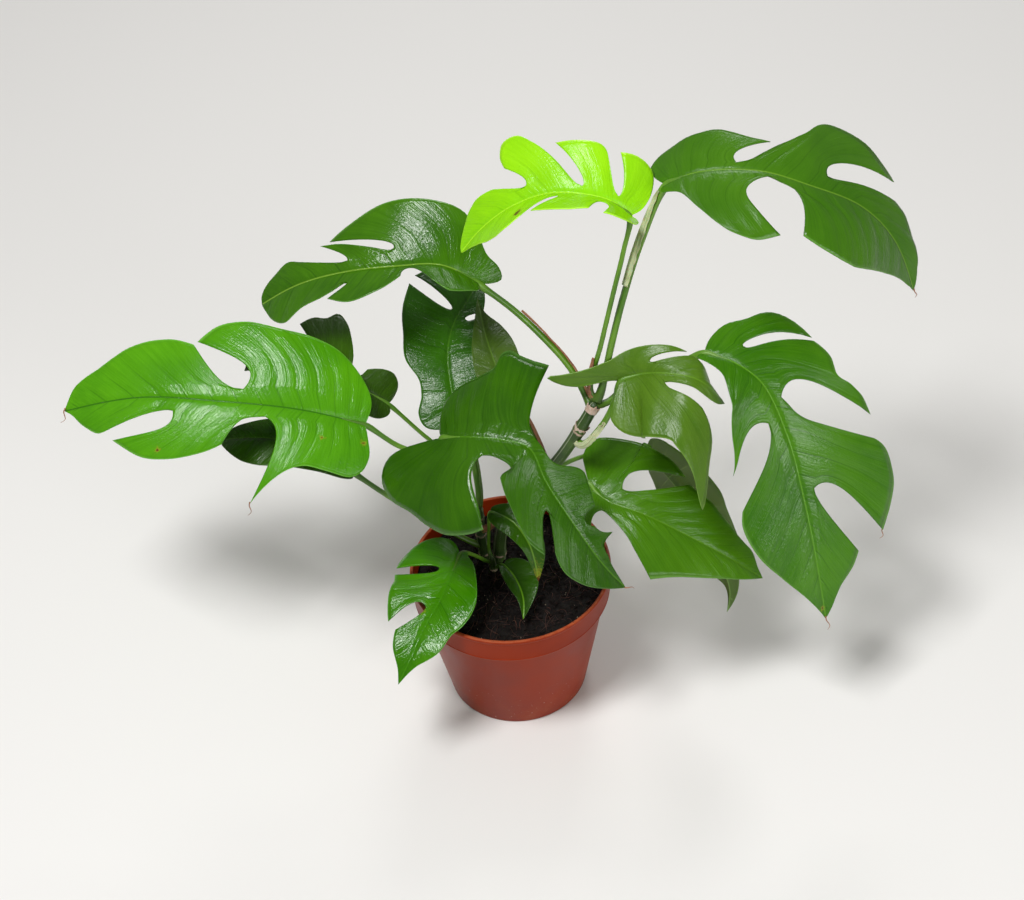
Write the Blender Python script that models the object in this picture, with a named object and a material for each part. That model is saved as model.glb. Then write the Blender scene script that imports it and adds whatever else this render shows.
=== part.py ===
"""A mini monstera in a 12 cm nursery pot, modelled for Blender 4.5 in metres, +Z up.

The origin is the middle of the pot's underside.  Every blade, petiole, stem, sheath, the soil and
the pot is an object of its own.  Blender's front (-Y) is the side that most blades face.
"""
import math

import bmesh
import bpy
import numpy as np

# ------------------------------------------------------------------ driving dimensions, mm
MM = 0.001                 # one millimetre in Blender's metres
GAP = 0.3                  # clearance between neighbouring solids
WELD = 0.01                # points nearer than this are the same point
SHARP_ANGLE = math.radians(35)

POT_HEIGHT = 94.0
RIM_RADIUS = 60.0          # a 12 cm pot, measured over the rim
BAND_HEIGHT = 18.0         # plain band below the rim
BAND_STEP = 2.4            # how far the band stands out from the wall
BAND_DRAFT = 0.5           # how much the band widens from its foot to the lip
LIP_HEIGHT = 1.4           # rolled lip at the top of the band
LIP_REACH = 0.6            # how far the lip stands out from the band
LIP_ROUND = 0.4
LIP_WIDTH = 2.1            # from the outside of the lip to its inner edge
BASE_RADIUS = 42.0
WALL = 1.3
FLOOR = 1.6
FOOT_WIDTH = 5.0           # ring that the pot stands on
FOOT_SLOPE = 1.5           # width of the slopes beside the raised ring
FOOT_ROUND = 1.0
FOOT_LIFT = 2.0            # how far the ring of drain holes is raised
HUB_RADIUS = 16.0          # flat disc in the middle of the base
DRAIN_HOLES = 8
DRAIN_RADIUS = 4.0
DRAIN_CIRCLE = 27.0
POT_SIDES = 48

SOIL_BELOW_RIM = 12.0
SOIL_MOUND = 2.2           # unevenness of the soil's top
SOIL_RINGS = 9             # rings of points in the soil's top
SOIL_EASE = 0.5            # extra clearance where the wall bends at the band
STEM_HOLE = 40.0           # length of a stem's hole, from its foot to well above the soil
STEM_STEPS = 14
STEM_TAPER = 0.12          # share of its radius that a stem loses by its last node
JOINT_SWELL = 0.05         # share of its radius that a stem gains at a joint
JOINTS = 4
PETIOLE_STEPS = 10
PETIOLE_TAPER = 0.85       # a petiole's radius at its blade, of that at its foot

BLADE_THICKNESS = 0.8
MIDRIB_COLUMNS = 18        # steps along a midrib
SMALL_COLUMNS = 12         # the same on a small blade
SMALL_LENGTH = 70.0       # a blade shorter than this is a small one
BASE_CROWDING = 1.6        # how much closer the steps are at a blade's base than at its tip
BLADE_ROWS = 4             # steps from the midrib to the margin
INNER_ROWS = 1             # of these, the steps from the midrib to the inner end of a notch
NOTCH_REACH = 2.5          # how fast a notch's pull on the grid fades along a lobe
FLANK_FULLNESS = 0.55      # how far a notch stays wide on the way out to its mouth
NOTCH_FLOOR = 0.8          # how near to the midrib a notch dips, of its inner end's distance
VEIN_SLANT = 0.6           # how far the side veins lean towards the tip
LEAN_UNIT = 50.0           # a curl is stated in radians per this many millimetres
PETIOLE_SEAT = 1.0         # gap from a petiole's side to the underside of its blade

# ------------------------------------------------------------------ the plant, mm and radians
# A blade's midrib runs through its points from the base to the tip, and its upper face looks along
# the first of face at the base and the second at the tip.  Each half has a bend: fold at the base
# and tip (up is positive), then curl at the base and tip.  Each half's outline is flat, as (along
# the midrib, out from it): lists are the margins of lobes, and a tuple between two lists is the
# notch between them, as the inner end and the roundness there.
BLADES = {
    "far_left": dict(
        midrib=[(-76, 29, 192), (-112, 30, 207), (-157, 34, 215), (-203, 45, 213), (-250, 54, 199)],
        face=[(0, -0.55, 0.83), (-0.25, -0.5, 0.83)],
        left_bend=(0.15, 0.1, -0.45, -0.4), right_bend=(0.15, 0.1, -0.5, -0.4),
        left=[[(-3, 8), (-6, 18), (-4, 27), (2, 32), (18, 32), (32, 32), (43, 37), (54, 47), (62, 58)],
              (58, 7, 15), [(81, 25), (92, 31), (110, 36), (131, 35), (150, 24)],
              (111, 8, 13), [(155, 18), (161, 18), (171, 11), (177, 4)]],
        right=[[(-1, 12), (3, 21), (12, 31), (23, 39), (40, 45), (56, 47), (76, 49), (93, 45), (103, 34)],
               (72, 8, 18), [(105, 32), (120, 35), (134, 33), (157, 21), (172, 13), (179, 5)]],
        colour="leaf_fresh"),
    "upper_left": dict(
        midrib=[(-5, 74, 254), (-25, 77, 266), (-50, 78, 267), (-80, 84, 261), (-107, 90, 250),
                (-132, 97, 231)],
        face=[(0, 0, 1), (-0.5, -0.1, 0.9)],
        left_bend=(0.3, -0.2, -0.1, -0.3), right_bend=(0.75, 0.4, -0.1, -0.4),
        left=[[(0, 12), (6, 18), (18, 23), (29, 17)],
              (42, 3, 4), [(46, 10), (55, 19), (71, 25), (88, 19)],
              (77, 10, 1.5), [(85, 14), (94, 17), (109, 18), (122, 21), (132, 16)]],
        right=[[(-8, 3), (-12, 8), (-7, 13), (3, 16), (11, 24), (19, 33), (28, 37), (40, 39), (59, 37),
                (76, 28), (88, 19)],
               (50, 10.5, 5), [(60, 11), (72, 14), (84, 17), (94, 18)],
               (78, 6, 3), [(96, 8), (98, 9), (108, 12.5), (117, 16), (126, 14), (138, 7)]],
        colour="leaf_deep"),
    "centre_back": dict(
        midrib=[(-23, 47, 174), (-26, 62, 187), (-26, 81, 198), (-21, 98, 204), (-12, 113, 208),
                (-6, 124, 210)],
        face=[(0, -0.68, 0.73), (0, -0.5, 0.86)],
        left_bend=(0.1, 0.1, -0.3, -0.3), right_bend=(0.1, 0.1, -0.3, -0.3),
        left=[[(-4, 10), (0, 20), (8, 22), (17, 18), (26, 18), (37, 25), (47, 27), (57, 31), (70, 35)],
              (68, 5, 3), [(78, 35), (86, 30), (93, 18), (95, 8)]],
        right=[[(-3, 6), (1, 16), (12, 25), (28, 28), (45, 25), (60, 18), (70, 11)],
               (66, 5, 3), [(76, 12), (84, 9), (90, 5)]],
        colour="leaf_deep"),
    "behind_centre": dict(
        midrib=[(7, 40, 193), (2, 58, 200), (-3, 81, 207), (-6, 109, 213)],
        face=[(0.1, -0.6, 0.78), (0.1, -0.5, 0.8)],
        left_bend=(0.1, 0.1, -0.3, -0.3), right_bend=(0.1, 0.1, -0.3, -0.3),
        left=[[(-2, 5), (6, 11), (18, 13), (34, 11), (54, 5)]],
        right=[[(-2, 5), (4, 11), (14, 14), (28, 15), (41, 14), (51, 10), (60, 3)]],
        colour="leaf_olive"),
    "centre_front": dict(
        midrib=[(-33, 4, 201), (-17, -6, 209), (2, -14, 212), (16, -21, 211), (24, -32, 194),
                (38, -44, 170), (52, -51, 145), (65, -52, 124)],
        face=[(-0.1, -0.3, 1), (0.45, -0.5, 0.75)],
        left_bend=(0.1, 0.1, -0.2, -0.2), right_bend=(-0.1, 0.1, -0.5, -0.3),
        left=[[(-5, 8), (-7, 23), (0, 34), (14, 40), (25, 45), (27, 54), (31, 57), (38, 54), (50, 52)],
              (58, 6, 9), [(74, 11), (87, 22), (98, 20), (109, 16)],
              (111, 7, 3), [(118, 9), (124, 11), (131, 17)],
              (133, 7, 3), [(139, 6), (150, 3)]],
        right=[[(-5, 3), (-24, 5), (-38, 12), (-40, 25), (-30, 37), (-15, 44), (-2, 52), (14, 57),
                (42, 52)],
               (31, 11, 14), [(66, 23), (80, 25), (90, 27), (99, 28), (110, 25)],
               (92, 9, 3), [(113, 19), (124, 22), (137, 18), (148, 11)]],
        colour="leaf_deep"),
    "newest": dict(
        midrib=[(80, 30, 327), (69, 32, 337), (53, 35, 341), (35, 41, 338), (16, 45, 328), (0, 48, 313),
                (-13, 50, 295)],
        face=[(0.1, 0, 1), (-0.5, -0.2, 0.8)],
        left_bend=(0.5, 0.2, -0.1, -0.2), right_bend=(0.7, 0.4, -0.1, -0.3),
        left=[[(-2, 8), (3, 18), (11, 25), (20, 27)],
              (19, 9, 4), [(26, 22), (36, 24), (54, 20)],
              (42, 5, 4), [(62, 20), (72, 23), (85, 18), (104, 8)]],
        right=[[(-3, 6), (-3, 16), (2, 26), (10, 29), (17, 27)],
               (12, 4, 3), [(20, 18), (24, 28), (35, 29), (46, 27)],
               (31, 4, 4), [(47, 19), (55, 30), (61, 36), (68, 35), (71, 28), (70, 21)],
               (61, 7, 4), [(80, 14), (92, 15), (106, 9)]],
        colour="leaf_lime"),
    "upper_right": dict(
        midrib=[(99, 41, 338), (117, 36, 348), (148, 30, 350), (174, 26, 341), (204, 29, 321),
                (223, 29, 296), (235, 25, 262)],
        face=[(0, -0.2, 1), (0.5, -0.4, 0.8)],
        left_bend=(0.1, 0.1, -0.3, -0.3), right_bend=(0.1, 0.1, -0.4, -0.4),
        left=[[(-6, 6), (-10, 14), (-6, 21), (6, 25), (18, 27), (31, 28), (47, 21), (57, 19)],
              (41, 4, 9), [(60, 17), (67, 24), (73, 30), (96, 45), (115, 44), (137, 31)],
              (93, 9, 11), [(140, 20), (150, 18), (162, 13), (176, 7)]],
        right=[[(-2, 5), (4, 8), (11, 12), (23, 26), (40, 40), (57, 43), (70, 37)],
               (58, 3, 25), [(80, 33), (94, 39), (117, 39), (151, 23), (175, 6)]],
        colour="leaf_deep"),
    "far_right": dict(
        midrib=[(118, 18, 236), (134, 8, 235), (148, -1, 226), (161, -18, 197), (168, -31, 166),
                (174, -46, 131), (179, -61, 93)],
        face=[(0, -0.3, 1), (0.3, -0.75, 0.5)],
        left_bend=(0.1, 0.1, -0.3, -0.3), right_bend=(0, 0.1, -0.3, -0.3),
        left=[[(-1, 6), (0, 12), (4, 20), (12, 27), (19, 37), (28, 41), (38, 41)],
              (18, 11, 4), [(39, 40.4), (46, 43), (54, 41), (62, 47), (72, 52), (82, 53)],
              (50, 5, 18), [(94, 51), (102, 57), (123, 58), (136, 52), (147, 44)],
              (107, 7, 13), [(153, 26), (162, 20), (171, 12), (183, 4)]],
        right=[[(-3, 4), (4, 6), (16, 10), (28, 20), (55, 29), (68, 32), (81, 37)],
               (60, 8, 14), [(106, 37), (116, 39), (136, 34), (155, 22), (170, 11), (181, 4)]],
        colour="leaf_fresh_deep"),
    "mid_right": dict(
        midrib=[(70, 10, 228), (81, 9, 232), (96, 2, 237), (112, -4, 236), (127, -5, 217)],
        face=[(0, -0.15, 1), (0.4, -0.1, 0.8)],
        left_bend=(1.3, -0.6, -0.3, -0.1), right_bend=(-0.3, -0.4, -0.3, -0.2),
        left=[[(-8, 3), (-20, 4), (-30, 9), (-37, 18), (-28, 16), (-15, 14), (0, 14), (14, 15), (28, 16),
               (36, 15)],
              (18, 6, 3), [(40, 14), (50, 12), (62, 7)]],
        right=[[(-4, 6), (-9, 12), (-12, 20), (-8, 29), (3, 36), (20, 38), (38, 38), (55, 42), (72, 48),
                (82, 54), (91, 58), (87, 50), (79, 38), (70, 23), (55, 14)],
               (28, 6, 3), [(46, 6), (56, 6), (66, 4)]],
        colour="leaf_deep"),
    "lower_right": dict(
        midrib=[(49, 5, 154), (58, -7, 151), (80, -17, 146), (105, -25, 133), (127, -29, 117),
                (147, -30, 98)],
        face=[(-0.1, -0.4, 0.9), (0.3, -0.5, 0.8)],
        left_bend=(0.1, 0.1, -0.3, -0.3), right_bend=(0.1, 0.1, -0.3, -0.3),
        left=[[(-7, 3), (-17, 8), (-21, 19), (-11, 32), (4, 42), (24, 41), (42, 37), (53, 31)],
              (22, 10, 14), [(57, 28), (76, 23), (96, 15), (110, 11), (118, 4)]],
        right=[[(-3, 4), (0, 9), (6, 17), (13, 23), (20, 27)],
               (17, 7, 5), [(57, 34), (72, 25), (92, 16), (112, 7)]],
        colour="leaf_deep"),
    "small_front": dict(
        midrib=[(-29, -3, 112), (-34, -17, 112), (-42, -35, 109), (-52, -50, 103), (-61, -64, 94),
                (-70, -74, 82)],
        face=[(-0.2, -0.5, 0.8), (-0.3, -0.7, 0.6)],
        left_bend=(0.1, 0.1, -0.4, -0.4), right_bend=(0.1, 0.1, -0.4, -0.4),
        left=[[(-2, 4), (2, 6), (8, 11), (20, 17), (32, 21), (43, 20), (51, 17), (65, 14), (77, 5)]],
        right=[[(-5, 3), (-9, 8), (-10, 16), (-5, 26), (5, 32), (19, 34)],
               (15, 8, 4), [(25, 33), (32, 31), (45, 29), (59, 21)],
               (43, 5, 8), [(62, 15), (72, 12), (83, 4)]],
        colour="leaf_fresh"),
    "young_front": dict(
        midrib=[(-4, -3, 100), (2, -13, 99), (6, -27, 96), (5, -39, 90)],
        face=[(0, -0.5, 0.85), (0, -0.7, 0.7)],
        left_bend=(0.2, 0.2, -0.2, -0.2), right_bend=(0.2, 0.2, -0.2, -0.2),
        left=[[(0, 4), (6, 10), (14, 13), (22, 11), (31, 5)]],
        right=[[(0, 3), (8, 6), (18, 6), (30, 3)]],
        colour="leaf_young"),
    "young_centre": dict(
        midrib=[(-9, 6, 136), (3, -2, 135), (12, -12, 125), (16, -21, 101)],
        face=[(0.1, -0.5, 0.85), (0.2, -0.7, 0.6)],
        left_bend=(0.1, 0.1, -0.2, -0.2), right_bend=(0.1, 0.1, -0.2, -0.2),
        left=[[(0, 3), (6, 7), (20, 10), (36, 8), (50, 3)]],
        right=[[(0, 4), (8, 8), (20, 8), (34, 5), (50, 2)]],
        colour="leaf_young"),
    "hanging_right": dict(
        midrib=[(86, 36, 147), (101, 23, 133), (114, 9, 115), (124, -3, 95), (130, -15, 74),
                (127, -23, 63)],
        face=[(0.5, 0.75, 0.5), (0.5, 0.85, 0.1)],
        left_bend=(0.1, 0.1, -0.2, -0.2), right_bend=(0.1, 0.1, -0.2, -0.2),
        left=[[(-1, 7), (1, 16), (6, 26), (16, 34), (32, 38), (52, 36), (72, 28), (88, 15), (99, 4)]],
        right=[[(-2, 9), (-3, 20), (1, 32), (9, 41), (20, 45), (36, 40), (54, 27), (72, 18), (96, 7)]],
        colour="leaf_olive"),
    "left_back": dict(
        midrib=[(-63, 57, 181), (-79, 60, 193), (-101, 66, 202), (-124, 73, 203), (-138, 78, 201),
                (-147, 81, 195)],
        face=[(0, -0.3, 0.95), (-0.3, -0.2, 0.9)],
        left_bend=(0.1, 0.1, -0.3, -0.3), right_bend=(0.1, 0.1, -0.3, -0.3),
        left=[[(-3, 5), (1, 11), (12, 16), (28, 20), (46, 22)],
              (46, 12, 4), [(51, 22), (66, 18), (80, 9)]],
        right=[[(-2, 6), (-1, 13), (4, 17), (12, 16), (20, 12)],
               (25, 6, 3), [(30, 16), (34, 26), (40, 37), (46, 42), (51, 37), (58, 36), (65, 30)],
               (56, 14, 4), [(68, 24), (78, 16), (88, 6)]],
        colour="leaf_deep"),
    "left_under": dict(
        midrib=[(-88, 32, 153), (-105, 37, 166), (-128, 42, 174), (-148, 47, 173), (-165, 53, 167)],
        face=[(0, -0.4, 0.9), (-0.2, -0.3, 0.9)],
        left_bend=(0.1, 0.1, -0.3, -0.3), right_bend=(0.1, 0.1, -0.3, -0.3),
        left=[[(-3, 3), (2, 7), (14, 11), (32, 15), (54, 18), (68, 15), (79, 8)]],
        right=[[(-3, 3), (4, 7), (17, 11), (38, 13), (57, 12), (76, 7)]],
        colour="leaf_deep"),
}

# A petiole runs from its node on a stem to the base of its blade: radius, then its own points.
PETIOLES = {
    "far_left": (1.6, [(-20.6, 27, 117), (-28, 27, 144), (-41, 24, 165), (-60, 25, 178)]),
    "upper_left": (2.0, [(50.5, 17.5, 211), (43, 30, 222), (27, 47, 235), (12, 61, 244)]),
    "centre_back": (2.0, [(-15, 28, 126), (-16, 36, 143), (-19, 43, 160)]),
    "behind_centre": (1.7, [(24.6, 19, 163), (21, 25, 172), (16, 32, 182)]),
    "centre_front": (2.0, [(-18, 18.5, 114), (-24, 11, 146), (-29.5, 5, 176)]),
    "newest": (1.6, [(53.2, 14.5, 217), (60.5, 17, 249), (68.5, 20, 283), (75, 26, 306)]),
    "upper_right": (2.1, [(58.7, 12.6, 217), (66, 17, 248), (74, 24, 276), (85, 31, 308)]),
    "far_right": (2.0, [(62.4, 12.6, 209), (76, 22, 213), (98, 23, 221)]),
    "mid_right": (1.9, [(47.2, 4.4, 186), (58, 4, 199), (66, 7, 214)]),
    "lower_right": (1.9, [(-11.3, 20.4, 108), (-2, 10, 128), (14, 5, 142), (32, 4, 150)]),
    "small_front": (1.3, [(-13.9, 6.4, 94), (-19, 4, 101), (-25, 1, 108)]),
    "young_front": (0.9, [(-8.0, 5.0, 89), (-6.4, 2, 94)]),
    "young_centre": (1.1, [(-11.8, 11.4, 98), (-11, 10, 114), (-10, 8, 128)]),
    "hanging_right": (1.5, [(34.4, 17.2, 158), (48, 25, 156), (66, 30, 153)]),
    "left_back": (1.3, [(-18, 31.2, 117), (-29, 42, 144), (-48, 51, 164)]),
    "left_under": (1.7, [(-20.6, 21, 95), (-42, 23, 112), (-66, 27, 132)]),
}

# A stem runs from its seat in the soil to its last node: radius, then its points.
STEMS = {
    "stem_main": (3.8, [(-6, 18, 67), (-6, 18, 84), (-1, 19, 114), (15, 17, 140), (32, 13, 165),
                        (48, 9, 197), (56, 11, 212)]),
    "stem_left": (3.2, [(-15, 21, 67), (-15, 21, 84), (-16, 23, 104), (-16, 26, 121)]),
    "stem_short": (2.3, [(-10, 9, 67), (-10, 9, 84), (-11, 8.4, 96)]),
}

# A sheath is a dry or fresh flap along a petiole: where it starts and ends along the petiole as
# fractions, the direction that it lies on, how much of the petiole it wraps in radians, its colour.
SHEATHS = {
    "upper_left": (0.06, 0.62, (0.5, 0.5, 0.8), 1.7, "sheath_husk"),
    "behind_centre": (0.05, 0.75, (0.8, -0.2, 0.5), 1.6, "sheath_husk"),
    "upper_right": (0.50, 0.86, (-0.7, -0.5, 0.5), 1.9, "sheath_pale"),
    "newest": (0.02, 0.20, (-0.9, -0.2, 0), 2.6, "sheath_husk"),
    "lower_right": (0.02, 0.42, (0, -0.7, 0.7), 1.9, "sheath_husk"),
    "centre_front": (0.02, 0.36, (-0.9, -0.4, 0), 1.9, "sheath_husk"),
    "mid_right": (0.02, 0.40, (-0.3, -0.9, 0.2), 1.8, "sheath_pale"),
    "centre_back": (0.02, 0.50, (0.9, -0.3, 0), 1.8, "sheath_green"),
}
SHEATH_THICKNESS = 0.4
SHEATH_SAMPLES = 60        # steps along the petiole, of which a sheath takes some
SHEATH_COLUMNS = 8         # steps along a sheath
SHEATH_ROWS = 6            # points round it
SHEATH_NARROWING = 0.75    # share of its wrap that a sheath loses by its tip
SHEATH_STAND = 0.2         # how far it stands off the petiole in its middle
SHEATH_FLARE = 1.2         # how much further off its edges would stand at a full wrap

COLOURS = {
    "pot_plastic": ((0.36, 0.055, 0.018), 0.42),
    "peat": ((0.012, 0.006, 0.004), 0.95),
    "stem_skin": ((0.045, 0.11, 0.018), 0.5),
    "petiole_skin": ((0.07, 0.17, 0.02), 0.45),
    "leaf_fresh": ((0.075, 0.27, 0.008), 0.3),
    "leaf_fresh_deep": ((0.05, 0.19, 0.01), 0.3),
    "leaf_deep": ((0.032, 0.13, 0.008), 0.3),
    "leaf_olive": ((0.07, 0.12, 0.02), 0.45),
    "leaf_lime": ((0.30, 0.62, 0.012), 0.35),
    "leaf_young": ((0.05, 0.17, 0.015), 0.35),
    "sheath_husk": ((0.22, 0.08, 0.03), 0.7),
    "sheath_pale": ((0.45, 0.5, 0.25), 0.5),
    "sheath_green": ((0.10, 0.22, 0.04), 0.45),
}


# ------------------------------------------------------------------ curves and flat outlines
def unit(vectors):
    """Vectors scaled to length one."""
    return vectors / np.linalg.norm(vectors, axis=-1, keepdims=True)


def smooth_path(points, count, steps=24):
    """A smooth curve through the points, as count samples an equal distance apart.

    Each stretch is a cubic Hermite curve, and the slope at a point is the mean of its two chords'
    slopes, each weighted by the other chord's length.
    """
    p = np.asarray(points, dtype=float)
    knots = np.concatenate([[0.0], np.cumsum(np.sqrt(np.linalg.norm(np.diff(p, axis=0), axis=1)))])
    span = np.diff(knots)[:, None]
    chord = np.diff(p, axis=0) / span
    slope = np.empty_like(p)
    slope[1:-1] = (chord[:-1] * span[1:] + chord[1:] * span[:-1]) / (span[1:] + span[:-1])
    slope[0] = chord[0] if len(p) == 2 else 1.5 * chord[0] - 0.5 * slope[1]
    slope[-1] = chord[-1] if len(p) == 2 else 1.5 * chord[-1] - 0.5 * slope[-2]
    t = np.linspace(0.0, 1.0, steps, endpoint=False)[None, :, None]
    start, end = p[:-1, None], p[1:, None]
    out, into = slope[:-1, None] * span[:, None], slope[1:, None] * span[:, None]
    curve = ((2 * t**3 - 3 * t**2 + 1) * start + (t**3 - 2 * t**2 + t) * out
             + (3 * t**2 - 2 * t**3) * end + (t**3 - t**2) * into)
    curve = np.concatenate([curve.reshape(-1, p.shape[1]), p[-1:]])
    travelled = np.concatenate([[0.0], np.cumsum(np.linalg.norm(np.diff(curve, axis=0), axis=1))])
    even = np.linspace(0.0, travelled[-1], count)
    return np.stack([np.interp(even, travelled, curve[:, i]) for i in range(p.shape[1])], axis=-1)


def notch_flank(notch, before, after, corner, count):
    """One side of a notch, from its rounded inner end to a lobe's corner, as a cubic Bezier."""
    inner = np.array(notch[:2], dtype=float)
    mouth = (np.array(before, dtype=float) + np.array(after, dtype=float)) / 2
    axis = unit(inner - mouth)
    across = np.array([-axis[1], axis[0]])
    corner = np.array(corner, dtype=float)
    side = 1.0 if np.dot(corner - mouth, across) > 0 else -1.0
    shoulder = inner + side * notch[2] * across
    shoulder[1] = max(shoulder[1], NOTCH_FLOOR * inner[1])
    lower = corner + FLANK_FULLNESS * (shoulder - corner)
    t = np.linspace(0.0, 1.0, count)[:, None]
    return ((1 - t)**3 * inner + 3 * (1 - t)**2 * t * shoulder + 3 * (1 - t) * t**2 * lower
            + t**3 * corner)


def midrib_steps(length, columns):
    """Distances of the steps along a midrib, which are closer together at the base."""
    return length * np.linspace(0.0, 1.0, columns + 1) ** BASE_CROWDING


def split_columns(side, length, columns):
    """The midrib step at which each lobe of a half starts, in order, with the last step."""
    lobes = (len(side) + 1) // 2
    cuts = [0]
    for index in range(1, lobes):
        notch = side[2 * index - 1]
        share = max(notch[0] - VEIN_SLANT * notch[1], 0.0) / length
        place = round(columns * share ** (1 / BASE_CROWDING))
        room = 2 * (lobes - index)
        cuts.append(min(max(place, cuts[-1] + 2), columns - room))
    return cuts + [columns]


def half_blade(side, length, columns, rows, inner_rows):
    """A flat half blade as one grid per lobe, each an array of (along, out) points.

    A lobe is ruled from its stretch of midrib to its margin.  Its two ends are then pulled onto
    the lines that run from the midrib to the inner end of the notch beside it and on along the
    notch to the corner, by a share that fades with a power of the distance from that end.
    """
    cuts = split_columns(side, length, columns)
    steps_along = midrib_steps(length, columns)
    patches = []
    for lobe, (first, last) in enumerate(zip(cuts[:-1], cuts[1:])):
        margin = list(side[2 * lobe])
        if lobe == 0:
            margin.insert(0, (0.0, 0.0))
        if lobe == len(cuts) - 2:
            margin.append((length, 0.0))
        steps = last - first
        bottom = np.stack([steps_along[first:last + 1], np.zeros(steps + 1)], axis=-1)
        top = smooth_path(margin, steps + 1)
        edges = []
        for notch_index, foot, corner in ((2 * lobe - 1, bottom[0], top[0]),
                                          (2 * lobe + 1, bottom[-1], top[-1])):
            if notch_index < 0 or notch_index >= len(side):
                edges.append(np.repeat(foot[None], rows + 1, axis=0))
                continue
            notch = side[notch_index]
            before, after = side[notch_index - 1][-1], side[notch_index + 1][0]
            inner = np.linspace(foot, np.array(notch[:2], dtype=float), inner_rows + 1)
            flank = notch_flank(notch, before, after, corner, rows - inner_rows + 1)
            edges.append(np.concatenate([inner[:-1], flank]))
        u = np.linspace(0.0, 1.0, steps + 1)[:, None, None]
        v = np.linspace(0.0, 1.0, rows + 1)[None, :, None]
        ruled = (1 - v) * bottom[:, None] + v * top[:, None]
        pull_start = (1 - u) ** NOTCH_REACH * (edges[0][None] - ruled[:1])
        pull_end = u ** NOTCH_REACH * (edges[1][None] - ruled[-1:])
        patches.append(ruled + pull_start + pull_end)
    return patches


# ------------------------------------------------------------------ a blade's place in the plant
class BladeFrame:
    """The bent midrib of one blade, which carries flat points to their place in the plant."""

    SAMPLES = 81

    def __init__(self, blade):
        self.line = smooth_path(blade["midrib"], self.SAMPLES)
        self.length = float(np.linalg.norm(np.diff(self.line, axis=0), axis=1).sum())
        self.along = np.linspace(0.0, self.length, self.SAMPLES)
        self.forward = unit(np.gradient(self.line, axis=0))
        share = np.linspace(0.0, 1.0, self.SAMPLES)[:, None]
        face = np.array(blade["face"][0]) * (1 - share) + np.array(blade["face"][1]) * share
        level = (face * self.forward).sum(axis=-1, keepdims=True) * self.forward
        self.up = unit(face - level)
        self.across = np.cross(self.forward, self.up)
        self.bends = {-1: blade["left_bend"], 1: blade["right_bend"]}

    def read(self, table, x):
        """A vector table's value at each distance along the midrib."""
        return np.stack([np.interp(x, self.along, table[:, i]) for i in range(3)], axis=-1)

    def place(self, flat, hand):
        """Flat points of one half (hand is -1 left, 1 right) moved to their place.

        A line straight out from the midrib becomes an arc: it leaves at the fold angle and turns
        by the curl as it goes out, and both change evenly from the base to the tip.
        """
        x, y = flat[..., 0], flat[..., 1]
        held = np.clip(x, 0.0, self.length)
        share = held / self.length
        fold_base, fold_tip, curl_base, curl_tip = self.bends[hand]
        fold = fold_base * (1 - share) + fold_tip * share
        curl = (curl_base * (1 - share) + curl_tip * share) / LEAN_UNIT
        out = (np.sin(fold + curl * y) - np.sin(fold)) / curl
        rise = (np.cos(fold) - np.cos(fold + curl * y)) / curl
        return (self.read(self.line, held) + (x - held)[..., None] * self.read(self.forward, held)
                + hand * out[..., None] * self.read(self.across, held)
                + rise[..., None] * self.read(self.up, held))


# ------------------------------------------------------------------ Blender helpers
def clear_scene():
    """Remove whatever the open file holds."""
    for old in list(bpy.data.objects):
        bpy.data.objects.remove(old, do_unlink=True)


def finish(name):
    """The named finish as a Principled material."""
    if name in bpy.data.materials:
        return bpy.data.materials[name]
    colour, roughness = COLOURS[name]
    material = bpy.data.materials.new(name)
    material.use_nodes = True
    shader = material.node_tree.nodes["Principled BSDF"]
    shader.inputs["Base Color"].default_value = (*colour, 1.0)
    shader.inputs["Roughness"].default_value = roughness
    shader.inputs["Metallic"].default_value = 0.0
    return material


def add_object(name, data, colour):
    """Link a mesh or curve to the scene under its own name, with its finish."""
    data.materials.append(finish(colour))
    item = bpy.data.objects.new(name, data)
    bpy.context.collection.objects.link(item)
    return item


def grids_to_mesh(name, grids):
    """Join grids of points (in mm) into one mesh, with shared edges merged.

    Each grid comes with a hand: 1 keeps the order of its corners, -1 turns its faces over.
    """
    mesh = bmesh.new()
    for grid, hand in grids:
        columns, rows = grid.shape[:2]
        points = [mesh.verts.new(point) for point in grid.reshape(-1, 3) * MM]
        for column in range(columns - 1):
            for row in range(rows - 1):
                start = column * rows + row
                ring = [start, start + rows, start + rows + 1, start + 1]
                mesh.faces.new([points[i] for i in (ring if hand > 0 else reversed(ring))])
    bmesh.ops.remove_doubles(mesh, verts=mesh.verts, dist=WELD * MM)
    data = bpy.data.meshes.new(name)
    mesh.to_mesh(data)
    mesh.free()
    data.shade_smooth()
    return data


def turned_mesh(name, profile, sides):
    """A closed profile of (radius, height) points, in mm, turned round the Z axis."""
    mesh = bmesh.new()
    ring = [mesh.verts.new((radius * MM, 0.0, height * MM)) for radius, height in profile]
    edges = [mesh.edges.new(pair) for pair in zip(ring, ring[1:])]
    bmesh.ops.spin(mesh, geom=ring + edges, cent=(0, 0, 0), axis=(0, 0, 1), dvec=(0, 0, 0),
                   angle=math.tau, steps=sides, use_merge=True, use_duplicate=False)
    bmesh.ops.remove_doubles(mesh, verts=mesh.verts, dist=WELD * MM)
    bmesh.ops.recalc_face_normals(mesh, faces=mesh.faces)
    data = bpy.data.meshes.new(name)
    mesh.to_mesh(data)
    mesh.free()
    data.shade_smooth()
    data.set_sharp_from_angle(angle=SHARP_ANGLE)
    return data


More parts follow.
